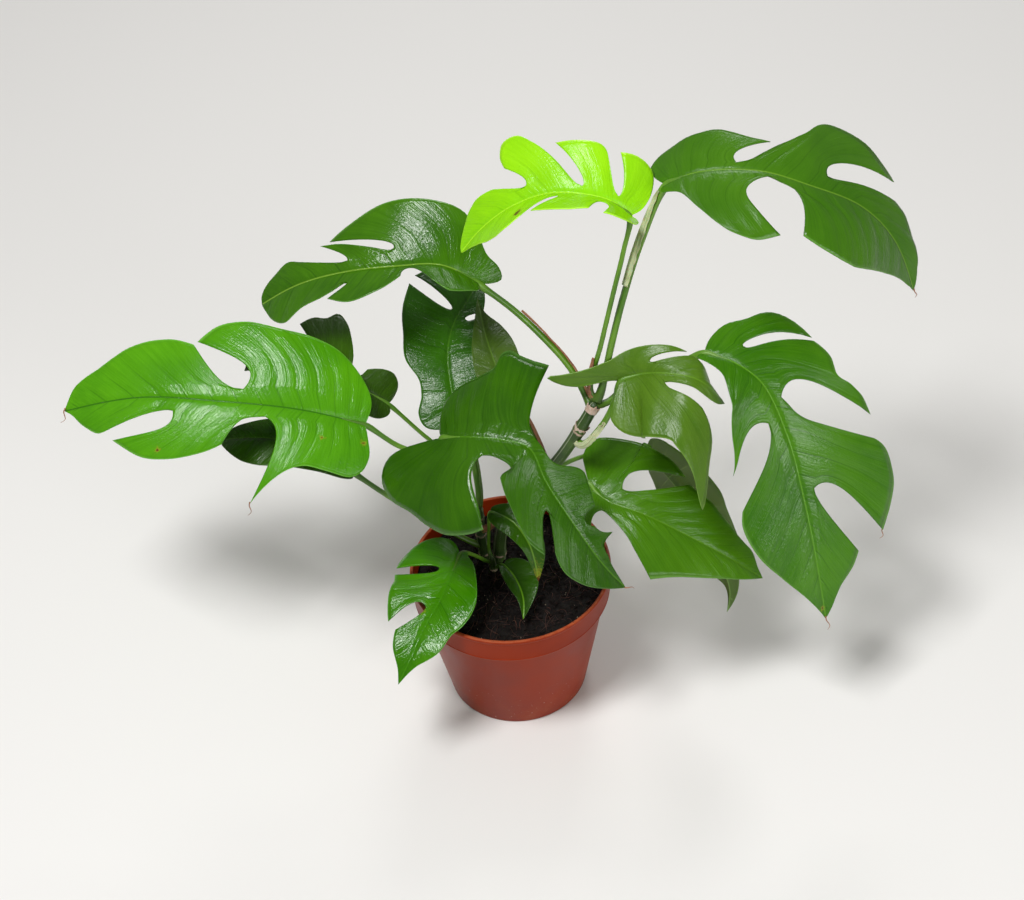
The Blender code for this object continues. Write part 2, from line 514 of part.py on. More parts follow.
def add_cutter(name, target, place, radius, depth, sides=16):
    """Cut a round hole in target: a hidden cylinder centred on place, all in mm."""
    mesh = bmesh.new()
    bmesh.ops.create_cone(mesh, cap_ends=True, segments=sides, radius1=radius * MM,
                          radius2=radius * MM, depth=depth * MM)
    bmesh.ops.translate(mesh, verts=mesh.verts, vec=[value * MM for value in place])
    data = bpy.data.meshes.new(name)
    mesh.to_mesh(data)
    mesh.free()
    cutter = bpy.data.objects.new(name, data)
    bpy.context.collection.objects.link(cutter)
    cutter.hide_render = True
    cutter.display_type = "WIRE"
    cut = target.modifiers.new(name, "BOOLEAN")
    cut.operation = "DIFFERENCE"
    cut.object = cutter
    return cutter


def add_tube(name, points, radii, colour):
    """A round rod through the points (in mm), as a bevelled curve with filled ends."""
    curve = bpy.data.curves.new(name, "CURVE")
    curve.dimensions = "3D"
    curve.bevel_depth = MM
    curve.bevel_resolution = 1
    curve.use_fill_caps = True
    spline = curve.splines.new("POLY")
    spline.points.add(len(points) - 1)
    for point, place, radius in zip(spline.points, points, radii):
        point.co = (*(place * MM), 1.0)
        point.radius = radius
    return add_object(name, curve, colour)


# ------------------------------------------------------------------ the sub-parts
def pot_wall_radius(height):
    """Outer radius of the tapering wall below the band."""
    top = RIM_RADIUS - 1.0 - BAND_STEP
    return BASE_RADIUS + (top - BASE_RADIUS) * height / (POT_HEIGHT - BAND_HEIGHT)


def make_pot():
    """Thin moulded pot: foot ring, raised ring of drain holes, tapering wall, band and lip."""
    band_foot = POT_HEIGHT - BAND_HEIGHT
    band_top = POT_HEIGHT - LIP_HEIGHT
    band_radius = RIM_RADIUS - LIP_REACH
    inside_band = band_radius - BAND_DRAFT - WALL
    floor_radius = pot_wall_radius(FLOOR) - WALL
    profile = [
        (0, 0), (HUB_RADIUS, 0), (HUB_RADIUS + FOOT_SLOPE, FOOT_LIFT),
        (BASE_RADIUS - FOOT_WIDTH - FOOT_SLOPE, FOOT_LIFT), (BASE_RADIUS - FOOT_WIDTH, 0),
        (BASE_RADIUS - FOOT_ROUND, 0), (BASE_RADIUS, FOOT_ROUND),
        (pot_wall_radius(band_foot - BAND_DRAFT), band_foot - BAND_DRAFT),
        (band_radius - BAND_DRAFT, band_foot + LIP_ROUND),
        (band_radius - BAND_DRAFT / 2, band_foot + 3 * LIP_ROUND),
        (band_radius, band_top - 2 * LIP_ROUND), (RIM_RADIUS, band_top),
        (RIM_RADIUS, POT_HEIGHT - LIP_ROUND), (RIM_RADIUS - LIP_ROUND, POT_HEIGHT),
        (RIM_RADIUS - LIP_WIDTH + LIP_ROUND, POT_HEIGHT),
        (RIM_RADIUS - LIP_WIDTH, POT_HEIGHT - LIP_ROUND),
        (inside_band, band_foot + WALL), (pot_wall_radius(band_foot) - WALL, band_foot),
        (floor_radius, FOOT_LIFT + FLOOR + FOOT_ROUND),
        (floor_radius - FOOT_ROUND, FOOT_LIFT + FLOOR), (0, FOOT_LIFT + FLOOR),
    ]
    pot = add_object("pot", turned_mesh("pot", profile, POT_SIDES), "pot_plastic")
    for index in range(DRAIN_HOLES):
        angle = math.tau * index / DRAIN_HOLES
        place = (DRAIN_CIRCLE * math.cos(angle), DRAIN_CIRCLE * math.sin(angle), FOOT_LIFT)
        add_cutter(f"drain_cutter_{index}", pot, place, DRAIN_RADIUS, 3 * FLOOR + 2 * FOOT_LIFT)


def make_soil():
    """Plug of peat that fills the pot to just below its rim, with a seat for each stem."""
    top = POT_HEIGHT - SOIL_BELOW_RIM
    top_radius = RIM_RADIUS - LIP_REACH - BAND_DRAFT - WALL - 2 * GAP
    band_foot = POT_HEIGHT - BAND_HEIGHT
    bottom = FOOT_LIFT + FLOOR + GAP
    floor_radius = pot_wall_radius(FLOOR) - WALL
    rings = np.linspace(0, top_radius, SOIL_RINGS)[1:-1]
    profile = [(0, bottom), (floor_radius - 3 * SOIL_EASE, bottom),
               (floor_radius - SOIL_EASE, bottom + 3 * SOIL_EASE),
               (pot_wall_radius(band_foot) - WALL - 2 * SOIL_EASE, band_foot - SOIL_EASE),
               (top_radius, band_foot + 4 * SOIL_EASE), (top_radius, top)]
    profile += [(float(radius), top) for radius in rings[::-1]] + [(0, top)]
    soil = add_object("soil", turned_mesh("soil", profile, POT_SIDES // 2), "peat")
    for vertex in soil.data.vertices:
        x, y, z = vertex.co / MM
        if z > top - GAP:
            fade = 1 - (math.hypot(x, y) / top_radius) ** 4
            vertex.co.z += SOIL_MOUND * MM * soil_swell(x, y) * fade
    for name, (radius, points) in STEMS.items():
        x, y, foot = points[0]
        place = (x, y, foot - GAP + STEM_HOLE / 2)
        add_cutter(f"{name}_seat", soil, place, radius + 2 * GAP, STEM_HOLE)


def soil_swell(x, y):
    """Unevenness of the soil at a place in mm: two slow waves about a small rise."""
    broad = math.sin(0.11 * x + 1.0) * math.cos(0.09 * y)
    slanting = math.sin(0.21 * (x - y))
    return 0.45 * broad + 0.22 * slanting + 0.35


def make_stem(name):
    """A stem, slightly swollen at its joints and narrowing to its last node."""
    radius, points = STEMS[name]
    path = smooth_path(points, STEM_STEPS)
    share = np.linspace(0.0, 1.0, len(path))
    radii = radius * (1 - STEM_TAPER * share + JOINT_SWELL * np.cos(share * math.tau * JOINTS))
    add_tube(name, path, radii, "stem_skin")


def petiole_path(name, count=PETIOLE_STEPS):
    """The middle line of a petiole, ending just below the base of its blade."""
    radius, points = PETIOLES[name]
    frame = BladeFrame(BLADES[name])
    base = frame.line[0] - frame.up[0] * (radius + PETIOLE_SEAT)
    return smooth_path([*points, base], count)


def make_petiole(name):
    """A petiole, a little thicker at its node."""
    radius = PETIOLES[name][0]
    path = petiole_path(name)
    radii = radius * np.linspace(1.0, PETIOLE_TAPER, len(path))
    add_tube(f"petiole_{name}", path, radii, "petiole_skin")


def make_blade(name):
    """A leaf blade: two halves of lobes, bent to place and given the thickness of a leaf."""
    blade = BLADES[name]
    frame = BladeFrame(blade)
    grids = []
    columns = SMALL_COLUMNS if frame.length < SMALL_LENGTH else MIDRIB_COLUMNS
    for hand, side in ((-1, blade["left"]), (1, blade["right"])):
        for patch in half_blade(side, frame.length, columns, BLADE_ROWS, INNER_ROWS):
            grids.append((frame.place(patch, hand), -hand))
    mesh = grids_to_mesh(f"blade_{name}", grids)
    item = add_object(f"blade_{name}", mesh, blade["colour"])
    skin = item.modifiers.new("thickness", "SOLIDIFY")
    skin.thickness = BLADE_THICKNESS * MM
    skin.offset = 0.0


def make_sheath(name):
    """A curved flap along part of a petiole, standing just off its surface.

    Each point is the petiole's middle line plus a radius turned round it by an even angle.
    """
    start, end, towards, wrap, colour = SHEATHS[name]
    radius = PETIOLES[name][0]
    path = petiole_path(name, SHEATH_SAMPLES + 1)
    first, last = round(SHEATH_SAMPLES * start), round(SHEATH_SAMPLES * end)
    line = path[first:last + 1][:: max(1, (last - first) // SHEATH_COLUMNS)]
    forward = unit(np.gradient(line, axis=0))
    side = np.array(towards, dtype=float)
    out = unit(side - (forward @ side)[:, None] * forward)
    across = np.cross(forward, out)
    share = np.linspace(0.0, 1.0, len(line))
    width = wrap * (1 - SHEATH_NARROWING * share**2)
    angle = width[:, None] * np.linspace(-0.5, 0.5, SHEATH_ROWS)[None, :]
    inside = radius + GAP + SHEATH_THICKNESS / 2 + SHEATH_STAND
    reach = inside + SHEATH_FLARE * (angle / wrap) ** 2
    points = (line[:, None] + reach[..., None] * (np.cos(angle)[..., None] * out[:, None]
                                                  + np.sin(angle)[..., None] * across[:, None]))
    item = add_object(f"sheath_{name}", grids_to_mesh(f"sheath_{name}", [(points, 1)]), colour)
    skin = item.modifiers.new("thickness", "SOLIDIFY")
    skin.thickness = SHEATH_THICKNESS * MM
    skin.offset = 0.0


def main():
    clear_scene()
    make_pot()
    make_soil()
    for name in STEMS:
        make_stem(name)
    for name in BLADES:
        make_petiole(name)
        make_blade(name)
    for name in SHEATHS:
        make_sheath(name)


main()
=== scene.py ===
"""A potted mini monstera: fine leaves, stalks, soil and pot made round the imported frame.

Blender works in metres.  The plant's own sizes are in millimetres and pass through MM.
"""
import math

import bpy
import numpy as np
from mathutils import Matrix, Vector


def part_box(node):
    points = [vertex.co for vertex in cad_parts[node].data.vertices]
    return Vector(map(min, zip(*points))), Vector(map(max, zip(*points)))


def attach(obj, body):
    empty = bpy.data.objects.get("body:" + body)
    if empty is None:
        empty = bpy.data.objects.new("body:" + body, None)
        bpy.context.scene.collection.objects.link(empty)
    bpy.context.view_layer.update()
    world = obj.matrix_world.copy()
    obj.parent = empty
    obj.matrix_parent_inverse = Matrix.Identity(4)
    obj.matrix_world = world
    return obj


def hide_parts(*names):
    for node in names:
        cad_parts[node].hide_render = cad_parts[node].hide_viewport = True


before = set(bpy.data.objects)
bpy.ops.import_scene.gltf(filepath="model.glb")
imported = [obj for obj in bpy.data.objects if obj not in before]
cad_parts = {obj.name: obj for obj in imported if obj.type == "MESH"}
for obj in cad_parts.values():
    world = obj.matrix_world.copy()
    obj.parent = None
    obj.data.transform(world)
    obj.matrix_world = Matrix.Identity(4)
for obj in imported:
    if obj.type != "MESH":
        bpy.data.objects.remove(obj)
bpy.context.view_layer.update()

# ------------------------------------------------------------------ sizes, mm
MM = 0.001
POT_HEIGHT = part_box("pot")[1].z / MM
RIM_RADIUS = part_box("pot")[1].x / MM
BASE_RADIUS = 42.0
BAND_HEIGHT = 18.0         # plain band below the rim
BAND_FOOT = POT_HEIGHT - BAND_HEIGHT
BAND_STEP = 2.4            # how far the band stands out from the wall
BAND_INSET = 1.4           # from the outside of the lip to the foot of the band
LIP_WIDTH = 2.1
LIP_HEIGHT = 2.0
WALL = 1.3
FLOOR = 1.6
FOOT_LIFT = 2.0            # how far the ring of drain holes is raised
FOOT_WIDTH = 5.0           # ring that the pot stands on
FOOT_SLOPE = 1.5           # width of the slopes beside the raised ring
HUB_RADIUS = 16.0          # flat disc in the middle of the base
DRAIN_HOLES = 8
DRAIN_RADIUS = 4.0
DRAIN_CIRCLE = 27.0
SOIL_TOP = POT_HEIGHT - 12.0
SOIL_RADIUS = RIM_RADIUS - BAND_INSET - WALL - 0.1
SOIL_FOOT = FOOT_LIFT + FLOOR + 0.3

BLADE_COLUMNS = 112        # steps along a midrib
BLADE_ROWS = 26            # steps from the midrib to the margin
INNER_ROWS = 10            # of these, the steps as far as the inner end of a notch
BASE_CROWDING = 1.6        # how much closer the steps are at a blade's base than at its tip
ROW_CROWDING = 1.5         # how much closer the rows are at the midrib than at the margin
NOTCH_REACH = 2.5          # how fast a notch's pull on the grid fades along a lobe
FLANK_FULLNESS = 0.55      # how far a notch stays wide on the way out to its mouth
NOTCH_FLOOR = 0.8          # how near to the midrib a notch dips, of its inner end's distance
VEIN_SLANT = 0.6           # how far the side veins lean towards the tip
LEAN_UNIT = 50.0           # a curl is stated in radians per this many millimetres
VEIN_SPACING = 12.0        # mean distance between side veins along a midrib
BLADE_THICKNESS = 0.55
RIB_THICKNESS = 2.1        # through the midrib at the base of a blade

# ------------------------------------------------------------------ the plant, mm and radians
# A blade's midrib runs through its points from the base to the tip, and its upper face looks along
# the first of face at the base and the second at the tip.  Each half has a bend: fold at the base
# and tip (up is positive), then curl at the base and tip.  Each half's outline is flat, as (along
# the midrib, out from it): lists are the margins of lobes, and a tuple between two lists is the
# notch between them, as the inner end and the roundness there.
BLADES = {
    "far_left": dict(
        midrib=[(-76, 29, 192), (-112, 30, 207), (-157, 34, 215), (-203, 45, 213), (-250, 54, 199)],
        face=[(0, -0.55, 0.83), (-0.25, -0.5, 0.83)],
        left_bend=(0.15, 0.1, -0.45, -0.4), right_bend=(0.15, 0.1, -0.5, -0.4),
        left=[[(-3, 8), (-6, 18), (-4, 27), (2, 32), (18, 32), (32, 32), (43, 37), (54, 47),
               (62, 58)],
              (58, 7, 15), [(81, 25), (92, 31), (110, 36), (131, 35), (150, 24)],
              (111, 8, 13), [(155, 18), (161, 18), (171, 11), (177, 4)]],
        right=[[(-1, 12), (3, 21), (12, 31), (23, 39), (40, 45), (56, 47), (76, 49), (93, 45),
                (103, 34)],
               (72, 8, 18), [(105, 32), (120, 35), (134, 33), (157, 21), (172, 13), (179, 5)]]),
    "upper_left": dict(
        midrib=[(-5, 74, 254), (-25, 77, 266), (-50, 78, 267), (-80, 84, 261), (-107, 90, 250),
                (-132, 97, 231)],
        face=[(0, 0, 1), (-0.5, -0.1, 0.9)],
        left_bend=(0.3, -0.2, -0.1, -0.3), right_bend=(0.75, 0.4, -0.1, -0.4),
        left=[[(0, 12), (6, 18), (18, 23), (29, 17)],
              (42, 3, 4), [(46, 10), (55, 19), (71, 25), (88, 19)],
              (77, 10, 1.5), [(85, 14), (94, 17), (109, 18), (122, 21), (132, 16)]],
        right=[[(-8, 3), (-12, 8), (-7, 13), (3, 16), (11, 24), (19, 33), (28, 37), (40, 39),
                (59, 37), (76, 28), (88, 19)],
               (50, 10.5, 5), [(60, 11), (72, 14), (84, 17), (94, 18)],
               (78, 6, 3), [(96, 8), (98, 9), (108, 12.5), (117, 16), (126, 14), (138, 7)]]),
    "centre_back": dict(
        midrib=[(-23, 47, 174), (-26, 62, 187), (-26, 81, 198), (-21, 98, 204), (-12, 113, 208),
                (-6, 124, 210)],
        face=[(0, -0.68, 0.73), (0, -0.5, 0.86)],
        left_bend=(0.1, 0.1, -0.3, -0.3), right_bend=(0.1, 0.1, -0.3, -0.3),
        left=[[(-4, 10), (0, 20), (8, 22), (17, 18), (26, 18), (37, 25), (47, 27), (57, 31),
               (70, 35)],
              (68, 5, 3), [(78, 35), (86, 30), (93, 18), (95, 8)]],
        right=[[(-3, 6), (1, 16), (12, 25), (28, 28), (45, 25), (60, 18), (70, 11)],
               (66, 5, 3), [(76, 12), (84, 9), (90, 5)]]),
    "behind_centre": dict(
        midrib=[(7, 40, 193), (2, 58, 200), (-3, 81, 207), (-6, 109, 213)],
        face=[(0.1, -0.6, 0.78), (0.1, -0.5, 0.8)],
        left_bend=(0.1, 0.1, -0.3, -0.3), right_bend=(0.1, 0.1, -0.3, -0.3),
        left=[[(-2, 5), (6, 11), (18, 13), (34, 11), (54, 5)]],
        right=[[(-2, 5), (4, 11), (14, 14), (28, 15), (41, 14), (51, 10), (60, 3)]]),
    "centre_front": dict(
        midrib=[(-33, 4, 201), (-17, -6, 209), (2, -14, 212), (16, -21, 211), (24, -32, 194),
                (38, -44, 170), (52, -51, 145), (65, -52, 124)],
        face=[(-0.1, -0.3, 1), (0.45, -0.5, 0.75)],
        left_bend=(0.1, 0.1, -0.2, -0.2), right_bend=(-0.1, 0.1, -0.5, -0.3),
        left=[[(-5, 8), (-7, 23), (0, 34), (14, 40), (25, 45), (27, 54), (31, 57), (38, 54),
               (50, 52)],
              (58, 6, 9), [(74, 11), (87, 22), (98, 20), (109, 16)],
              (111, 7, 3), [(118, 9), (124, 11), (131, 17)],
              (133, 7, 3), [(139, 6), (150, 3)]],
        right=[[(-5, 3), (-24, 5), (-38, 12), (-40, 25), (-30, 37), (-15, 44), (-2, 52), (14, 57),
                (42, 52)],
               (31, 11, 14), [(66, 23), (80, 25), (90, 27), (99, 28), (110, 25)],
               (92, 9, 3), [(113, 19), (124, 22), (137, 18), (148, 11)]]),
    "newest": dict(
        midrib=[(80, 30, 327), (69, 32, 337), (53, 35, 341), (35, 41, 338), (16, 45, 328),
        (0, 48, 313),
                (-13, 50, 295)],
        face=[(0.1, 0, 1), (-0.5, -0.2, 0.8)],
        left_bend=(0.5, 0.2, -0.1, -0.2), right_bend=(0.7, 0.4, -0.1, -0.3),
        left=[[(-2, 8), (3, 18), (11, 25), (20, 27)],
              (19, 9, 4), [(26, 22), (36, 24), (54, 20)],
              (42, 5, 4), [(62, 20), (72, 23), (85, 18), (104, 8)]],
        right=[[(-3, 6), (-3, 16), (2, 26), (10, 29), (17, 27)],
               (12, 4, 3), [(20, 18), (24, 28), (35, 29), (46, 27)],
               (31, 4, 4), [(47, 19), (55, 30), (61, 36), (68, 35), (71, 28), (70, 21)],
               (61, 7, 4), [(80, 14), (92, 15), (106, 9)]]),
    "upper_right": dict(
        midrib=[(99, 41, 338), (117, 36, 348), (148, 30, 350), (174, 26, 341), (204, 29, 321),
                (223, 29, 296), (235, 25, 262)],
        face=[(0, -0.2, 1), (0.5, -0.4, 0.8)],
        left_bend=(0.1, 0.1, -0.3, -0.3), right_bend=(0.1, 0.1, -0.4, -0.4),
        left=[[(-6, 6), (-10, 14), (-6, 21), (6, 25), (18, 27), (31, 28), (47, 21), (57, 19)],
              (41, 4, 9), [(60, 17), (67, 24), (73, 30), (96, 45), (115, 44), (137, 31)],
              (93, 9, 11), [(140, 20), (150, 18), (162, 13), (176, 7)]],
        right=[[(-2, 5), (4, 8), (11, 12), (23, 26), (40, 40), (57, 43), (70, 37)],
               (58, 3, 25), [(80, 33), (94, 39), (117, 39), (151, 23), (175, 6)]]),
    "far_right": dict(
        midrib=[(118, 18, 236), (134, 8, 235), (148, -1, 226), (161, -18, 197), (168, -31, 166),
                (174, -46, 131), (179, -61, 93)],
        face=[(0, -0.3, 1), (0.3, -0.75, 0.5)],
        left_bend=(0.1, 0.1, -0.3, -0.3), right_bend=(0, 0.1, -0.3, -0.3),
        left=[[(-1, 6), (0, 12), (4, 20), (12, 27), (19, 37), (28, 41), (38, 41)],
              (18, 11, 4), [(39, 40.4), (46, 43), (54, 41), (62, 47), (72, 52), (82, 53)],
              (50, 5, 18), [(94, 51), (102, 57), (123, 58), (136, 52), (147, 44)],
              (107, 7, 13), [(153, 26), (162, 20), (171, 12), (183, 4)]],
        right=[[(-3, 4), (4, 6), (16, 10), (28, 20), (55, 29), (68, 32), (81, 37)],
               (60, 8, 14), [(106, 37), (116, 39), (136, 34), (155, 22), (170, 11), (181, 4)]]),
    "mid_right": dict(
        midrib=[(70, 10, 228), (81, 9, 232), (96, 2, 237), (112, -4, 236), (127, -5, 217)],
        face=[(0, -0.15, 1), (0.4, -0.1, 0.8)],
        left_bend=(1.3, -0.6, -0.3, -0.1), right_bend=(-0.3, -0.4, -0.3, -0.2),
        left=[[(-8, 3), (-20, 4), (-30, 9), (-37, 18), (-28, 16), (-15, 14), (0, 14), (14, 15),
               (28, 16), (36, 15)],
              (18, 6, 3), [(40, 14), (50, 12), (62, 7)]],
        right=[[(-4, 6), (-9, 12), (-12, 20), (-8, 29), (3, 36), (20, 38), (38, 38), (55, 42),
                (72, 48), (82, 54), (91, 58), (87, 50), (79, 38), (70, 23), (55, 14)],
               (28, 6, 3), [(46, 6), (56, 6), (66, 4)]]),
    "lower_right": dict(
        midrib=[(49, 5, 154), (58, -7, 151), (80, -17, 146), (105, -25, 133), (127, -29, 117),
                (147, -30, 98)],
        face=[(-0.1, -0.4, 0.9), (0.3, -0.5, 0.8)],
        left_bend=(0.1, 0.1, -0.3, -0.3), right_bend=(0.1, 0.1, -0.3, -0.3),
        left=[[(-7, 3), (-17, 8), (-21, 19), (-11, 32), (4, 42), (24, 41), (42, 37), (53, 31)],
              (22, 10, 14), [(57, 28), (76, 23), (96, 15), (110, 11), (118, 4)]],
        right=[[(-3, 4), (0, 9), (6, 17), (13, 23), (20, 27)],
               (17, 7, 5), [(57, 34), (72, 25), (92, 16), (112, 7)]]),
    "small_front": dict(
        midrib=[(-29, -3, 112), (-34, -17, 112), (-42, -35, 109), (-52, -50, 103), (-61, -64, 94),
                (-70, -74, 82)],
        face=[(-0.2, -0.5, 0.8), (-0.3, -0.7, 0.6)],
        left_bend=(0.1, 0.1, -0.4, -0.4), right_bend=(0.1, 0.1, -0.4, -0.4),
        left=[[(-2, 4), (2, 6), (8, 11), (20, 17), (32, 21), (43, 20), (51, 17), (65, 14),
               (77, 5)]],
        right=[[(-5, 3), (-9, 8), (-10, 16), (-5, 26), (5, 32), (19, 34)],
               (15, 8, 4), [(25, 33), (32, 31), (45, 29), (59, 21)],
               (43, 5, 8), [(62, 15), (72, 12), (83, 4)]]),
    "young_front": dict(
        midrib=[(-4, -3, 100), (2, -13, 99), (6, -27, 96), (5, -39, 90)],
        face=[(0, -0.5, 0.85), (0, -0.7, 0.7)],
        left_bend=(0.2, 0.2, -0.2, -0.2), right_bend=(0.2, 0.2, -0.2, -0.2),
        left=[[(0, 4), (6, 10), (14, 13), (22, 11), (31, 5)]],
        right=[[(0, 3), (8, 6), (18, 6), (30, 3)]]),
    "young_centre": dict(
        midrib=[(-9, 6, 136), (3, -2, 135), (12, -12, 125), (16, -21, 101)],
        face=[(0.1, -0.5, 0.85), (0.2, -0.7, 0.6)],
        left_bend=(0.1, 0.1, -0.2, -0.2), right_bend=(0.1, 0.1, -0.2, -0.2),
        left=[[(0, 3), (6, 7), (20, 10), (36, 8), (50, 3)]],
        right=[[(0, 4), (8, 8), (20, 8), (34, 5), (50, 2)]]),
    "hanging_right": dict(
        midrib=[(86, 36, 147), (101, 23, 133), (114, 9, 115), (124, -3, 95), (130, -15, 74),
                (127, -23, 63)],
        face=[(0.5, 0.75, 0.5), (0.5, 0.85, 0.1)],
        left_bend=(0.1, 0.1, -0.2, -0.2), right_bend=(0.1, 0.1, -0.2, -0.2),
        left=[[(-1, 7), (1, 16), (6, 26), (16, 34), (32, 38), (52, 36), (72, 28), (88, 15),
               (99, 4)]],
        right=[[(-2, 9), (-3, 20), (1, 32), (9, 41), (20, 45), (36, 40), (54, 27), (72, 18),
                (96, 7)]]),
    "left_back": dict(
        midrib=[(-63, 57, 181), (-79, 60, 193), (-101, 66, 202), (-124, 73, 203), (-138, 78, 201),
                (-147, 81, 195)],
        face=[(0, -0.3, 0.95), (-0.3, -0.2, 0.9)],
        left_bend=(0.1, 0.1, -0.3, -0.3), right_bend=(0.1, 0.1, -0.3, -0.3),
        left=[[(-3, 5), (1, 11), (12, 16), (28, 20), (46, 22)],
              (46, 12, 4), [(51, 22), (66, 18), (80, 9)]],
        right=[[(-2, 6), (-1, 13), (4, 17), (12, 16), (20, 12)],
               (25, 6, 3), [(30, 16), (34, 26), (40, 37), (46, 42), (51, 37), (58, 36), (65, 30)],
               (56, 14, 4), [(68, 24), (78, 16), (88, 6)]]),
    "left_under": dict(
        midrib=[(-88, 32, 153), (-105, 37, 166), (-128, 42, 174), (-148, 47, 173), (-165, 53, 167)],
        face=[(0, -0.4, 0.9), (-0.2, -0.3, 0.9)],
        left_bend=(0.1, 0.1, -0.3, -0.3), right_bend=(0.1, 0.1, -0.3, -0.3),
        left=[[(-3, 3), (2, 7), (14, 11), (32, 15), (54, 18), (68, 15), (79, 8)]],
        right=[[(-3, 3), (4, 7), (17, 11), (38, 13), (57, 12), (76, 7)]]),
}

# A petiole runs from its node on a stem to the base of its blade: radius, then its own points.
PETIOLES = {
    "far_left": (1.6, [(-20.6, 27, 117), (-28, 27, 144), (-41, 24, 165), (-60, 25, 178)]),
    "upper_left": (2.0, [(50.5, 17.5, 211), (43, 30, 222), (27, 47, 235), (12, 61, 244)]),
    "centre_back": (2.0, [(-15, 28, 126), (-16, 36, 143), (-19, 43, 160)]),
    "behind_centre": (1.7, [(24.6, 19, 163), (21, 25, 172), (16, 32, 182)]),
    "centre_front": (2.0, [(-18, 18.5, 114), (-24, 11, 146), (-29.5, 5, 176)]),
    "newest": (1.6, [(53.2, 14.5, 217), (60.5, 17, 249), (68.5, 20, 283), (75, 26, 306)]),
    "upper_right": (2.1, [(58.7, 12.6, 217), (66, 17, 248), (74, 24, 276), (85, 31, 308)]),
    "far_right": (2.0, [(62.4, 12.6, 209), (76, 22, 213), (98, 23, 221)]),
    "mid_right": (1.9, [(47.2, 4.4, 186), (58, 4, 199), (66, 7, 214)]),
    "lower_right": (1.9, [(-11.3, 20.4, 108), (-2, 10, 128), (14, 5, 142), (32, 4, 150)]),
    "small_front": (1.3, [(-13.9, 6.4, 94), (-19, 4, 101), (-25, 1, 108)]),
    "young_front": (0.9, [(-8.0, 5.0, 89), (-6.4, 2, 94)]),
    "young_centre": (1.1, [(-11.8, 11.4, 98), (-11, 10, 114), (-10, 8, 128)]),
    "hanging_right": (1.5, [(34.4, 17.2, 158), (48, 25, 156), (66, 30, 153)]),
    "left_back": (1.3, [(-18, 31.2, 117), (-29, 42, 144), (-48, 51, 164)]),
    "left_under": (1.7, [(-20.6, 21, 95), (-42, 23, 112), (-66, 27, 132)]),
}

# A stem runs from its seat in the soil to its last node: radius, then its points.
STEMS = {
    "stem_main": (3.8, [(-6, 18, 67), (-6, 18, 84), (-1, 19, 114), (15, 17, 140), (32, 13, 165),
                        (48, 9, 197), (56, 11, 212)]),
    "stem_left": (3.2, [(-15, 21, 67), (-15, 21, 84), (-16, 23, 104), (-16, 26, 121)]),
    "stem_short": (2.3, [(-10, 9, 67), (-10, 9, 84), (-11, 8.4, 96)]),
}

# A sheath is a dry or fresh flap along a petiole: where it starts and ends along the petiole as
# fractions, the direction that it lies on, how much of the petiole it wraps in radians, its colour.
SHEATHS = {
    "upper_left": (0.06, 0.62, (0.5, 0.5, 0.8), 1.7, "sheath_husk"),
    "behind_centre": (0.05, 0.75, (0.8, -0.2, 0.5), 1.6, "sheath_husk"),
    "upper_right": (0.50, 0.86, (-0.7, -0.5, 0.5), 1.9, "sheath_pale"),
    "newest": (0.02, 0.20, (-0.9, -0.2, 0), 2.6, "sheath_husk"),
    "lower_right": (0.02, 0.42, (0, -0.7, 0.7), 1.9, "sheath_husk"),
    "centre_front": (0.02, 0.36, (-0.9, -0.4, 0), 1.9, "sheath_husk"),
    "mid_right": (0.02, 0.40, (-0.3, -0.9, 0.2), 1.8, "sheath_pale"),
    "centre_back": (0.02, 0.50, (0.9, -0.3, 0), 1.8, "sheath_green"),
}

# How each leaf is finished: its deep and light green, the green of its midrib, its roughness and
# how strongly painted shade darkens the grooves of its side veins.
LEAF_TONES = {
    "far_left": ((0.038, 0.194, 0.001), (0.098, 0.357, 0.003), (0.03, 0.153, 0.002), 0.30, 0.6),
    "upper_left": ((0.019, 0.087, 0.001), (0.06, 0.194, 0.002), (0.17, 0.326, 0.028), 0.27, 0.5),
    "centre_back": ((0.013, 0.066, 0.001), (0.03, 0.128, 0.001), (0.043, 0.143, 0.004), 0.33, 0.4),
    "behind_centre": ((0.025, 0.061, 0.002), (0.068, 0.133, 0.008),
                      (0.068, 0.143, 0.008), 0.42, 0.4),
    "centre_front": ((0.012, 0.063, 0.0), (0.043, 0.148, 0.001), (0.06, 0.184, 0.005), 0.29, 0.4),
    "newest": ((0.204, 0.561, 0.001), (0.315, 0.734, 0.004), (0.383, 0.765, 0.02), 0.34, 0.35),
    "upper_right": ((0.03, 0.122, 0.001), (0.064, 0.194, 0.005), (0.119, 0.265, 0.016), 0.33, 0.5),
    "far_right": ((0.019, 0.107, 0.001), (0.072, 0.224, 0.005), (0.085, 0.245, 0.008), 0.28, 0.6),
    "mid_right": ((0.043, 0.122, 0.003), (0.102, 0.204, 0.012), (0.102, 0.224, 0.012), 0.42, 0.4),
    "lower_right": ((0.03, 0.117, 0.001), (0.072, 0.204, 0.004), (0.076, 0.204, 0.006), 0.28, 0.4),
    "small_front": ((0.019, 0.122, 0.0), (0.06, 0.235, 0.001), (0.043, 0.194, 0.002), 0.21, 0.5),
    "young_front": ((0.012, 0.046, 0.001), (0.034, 0.112, 0.002), (0.102, 0.255, 0.008), 0.33, 0.2),
    "young_centre": ((0.015, 0.061, 0.001), (0.043, 0.143, 0.002),
                     (0.119, 0.265, 0.016), 0.30, 0.2),
    "hanging_right": ((0.025, 0.071, 0.002), (0.072, 0.153, 0.008),
                      (0.102, 0.194, 0.016), 0.40, 0.5),
    "left_back": ((0.017, 0.051, 0.001), (0.038, 0.102, 0.003), (0.051, 0.122, 0.005), 0.36, 0.6),
    "left_under": ((0.013, 0.046, 0.001), (0.03, 0.087, 0.002), (0.043, 0.102, 0.004), 0.36, 0.4),
}


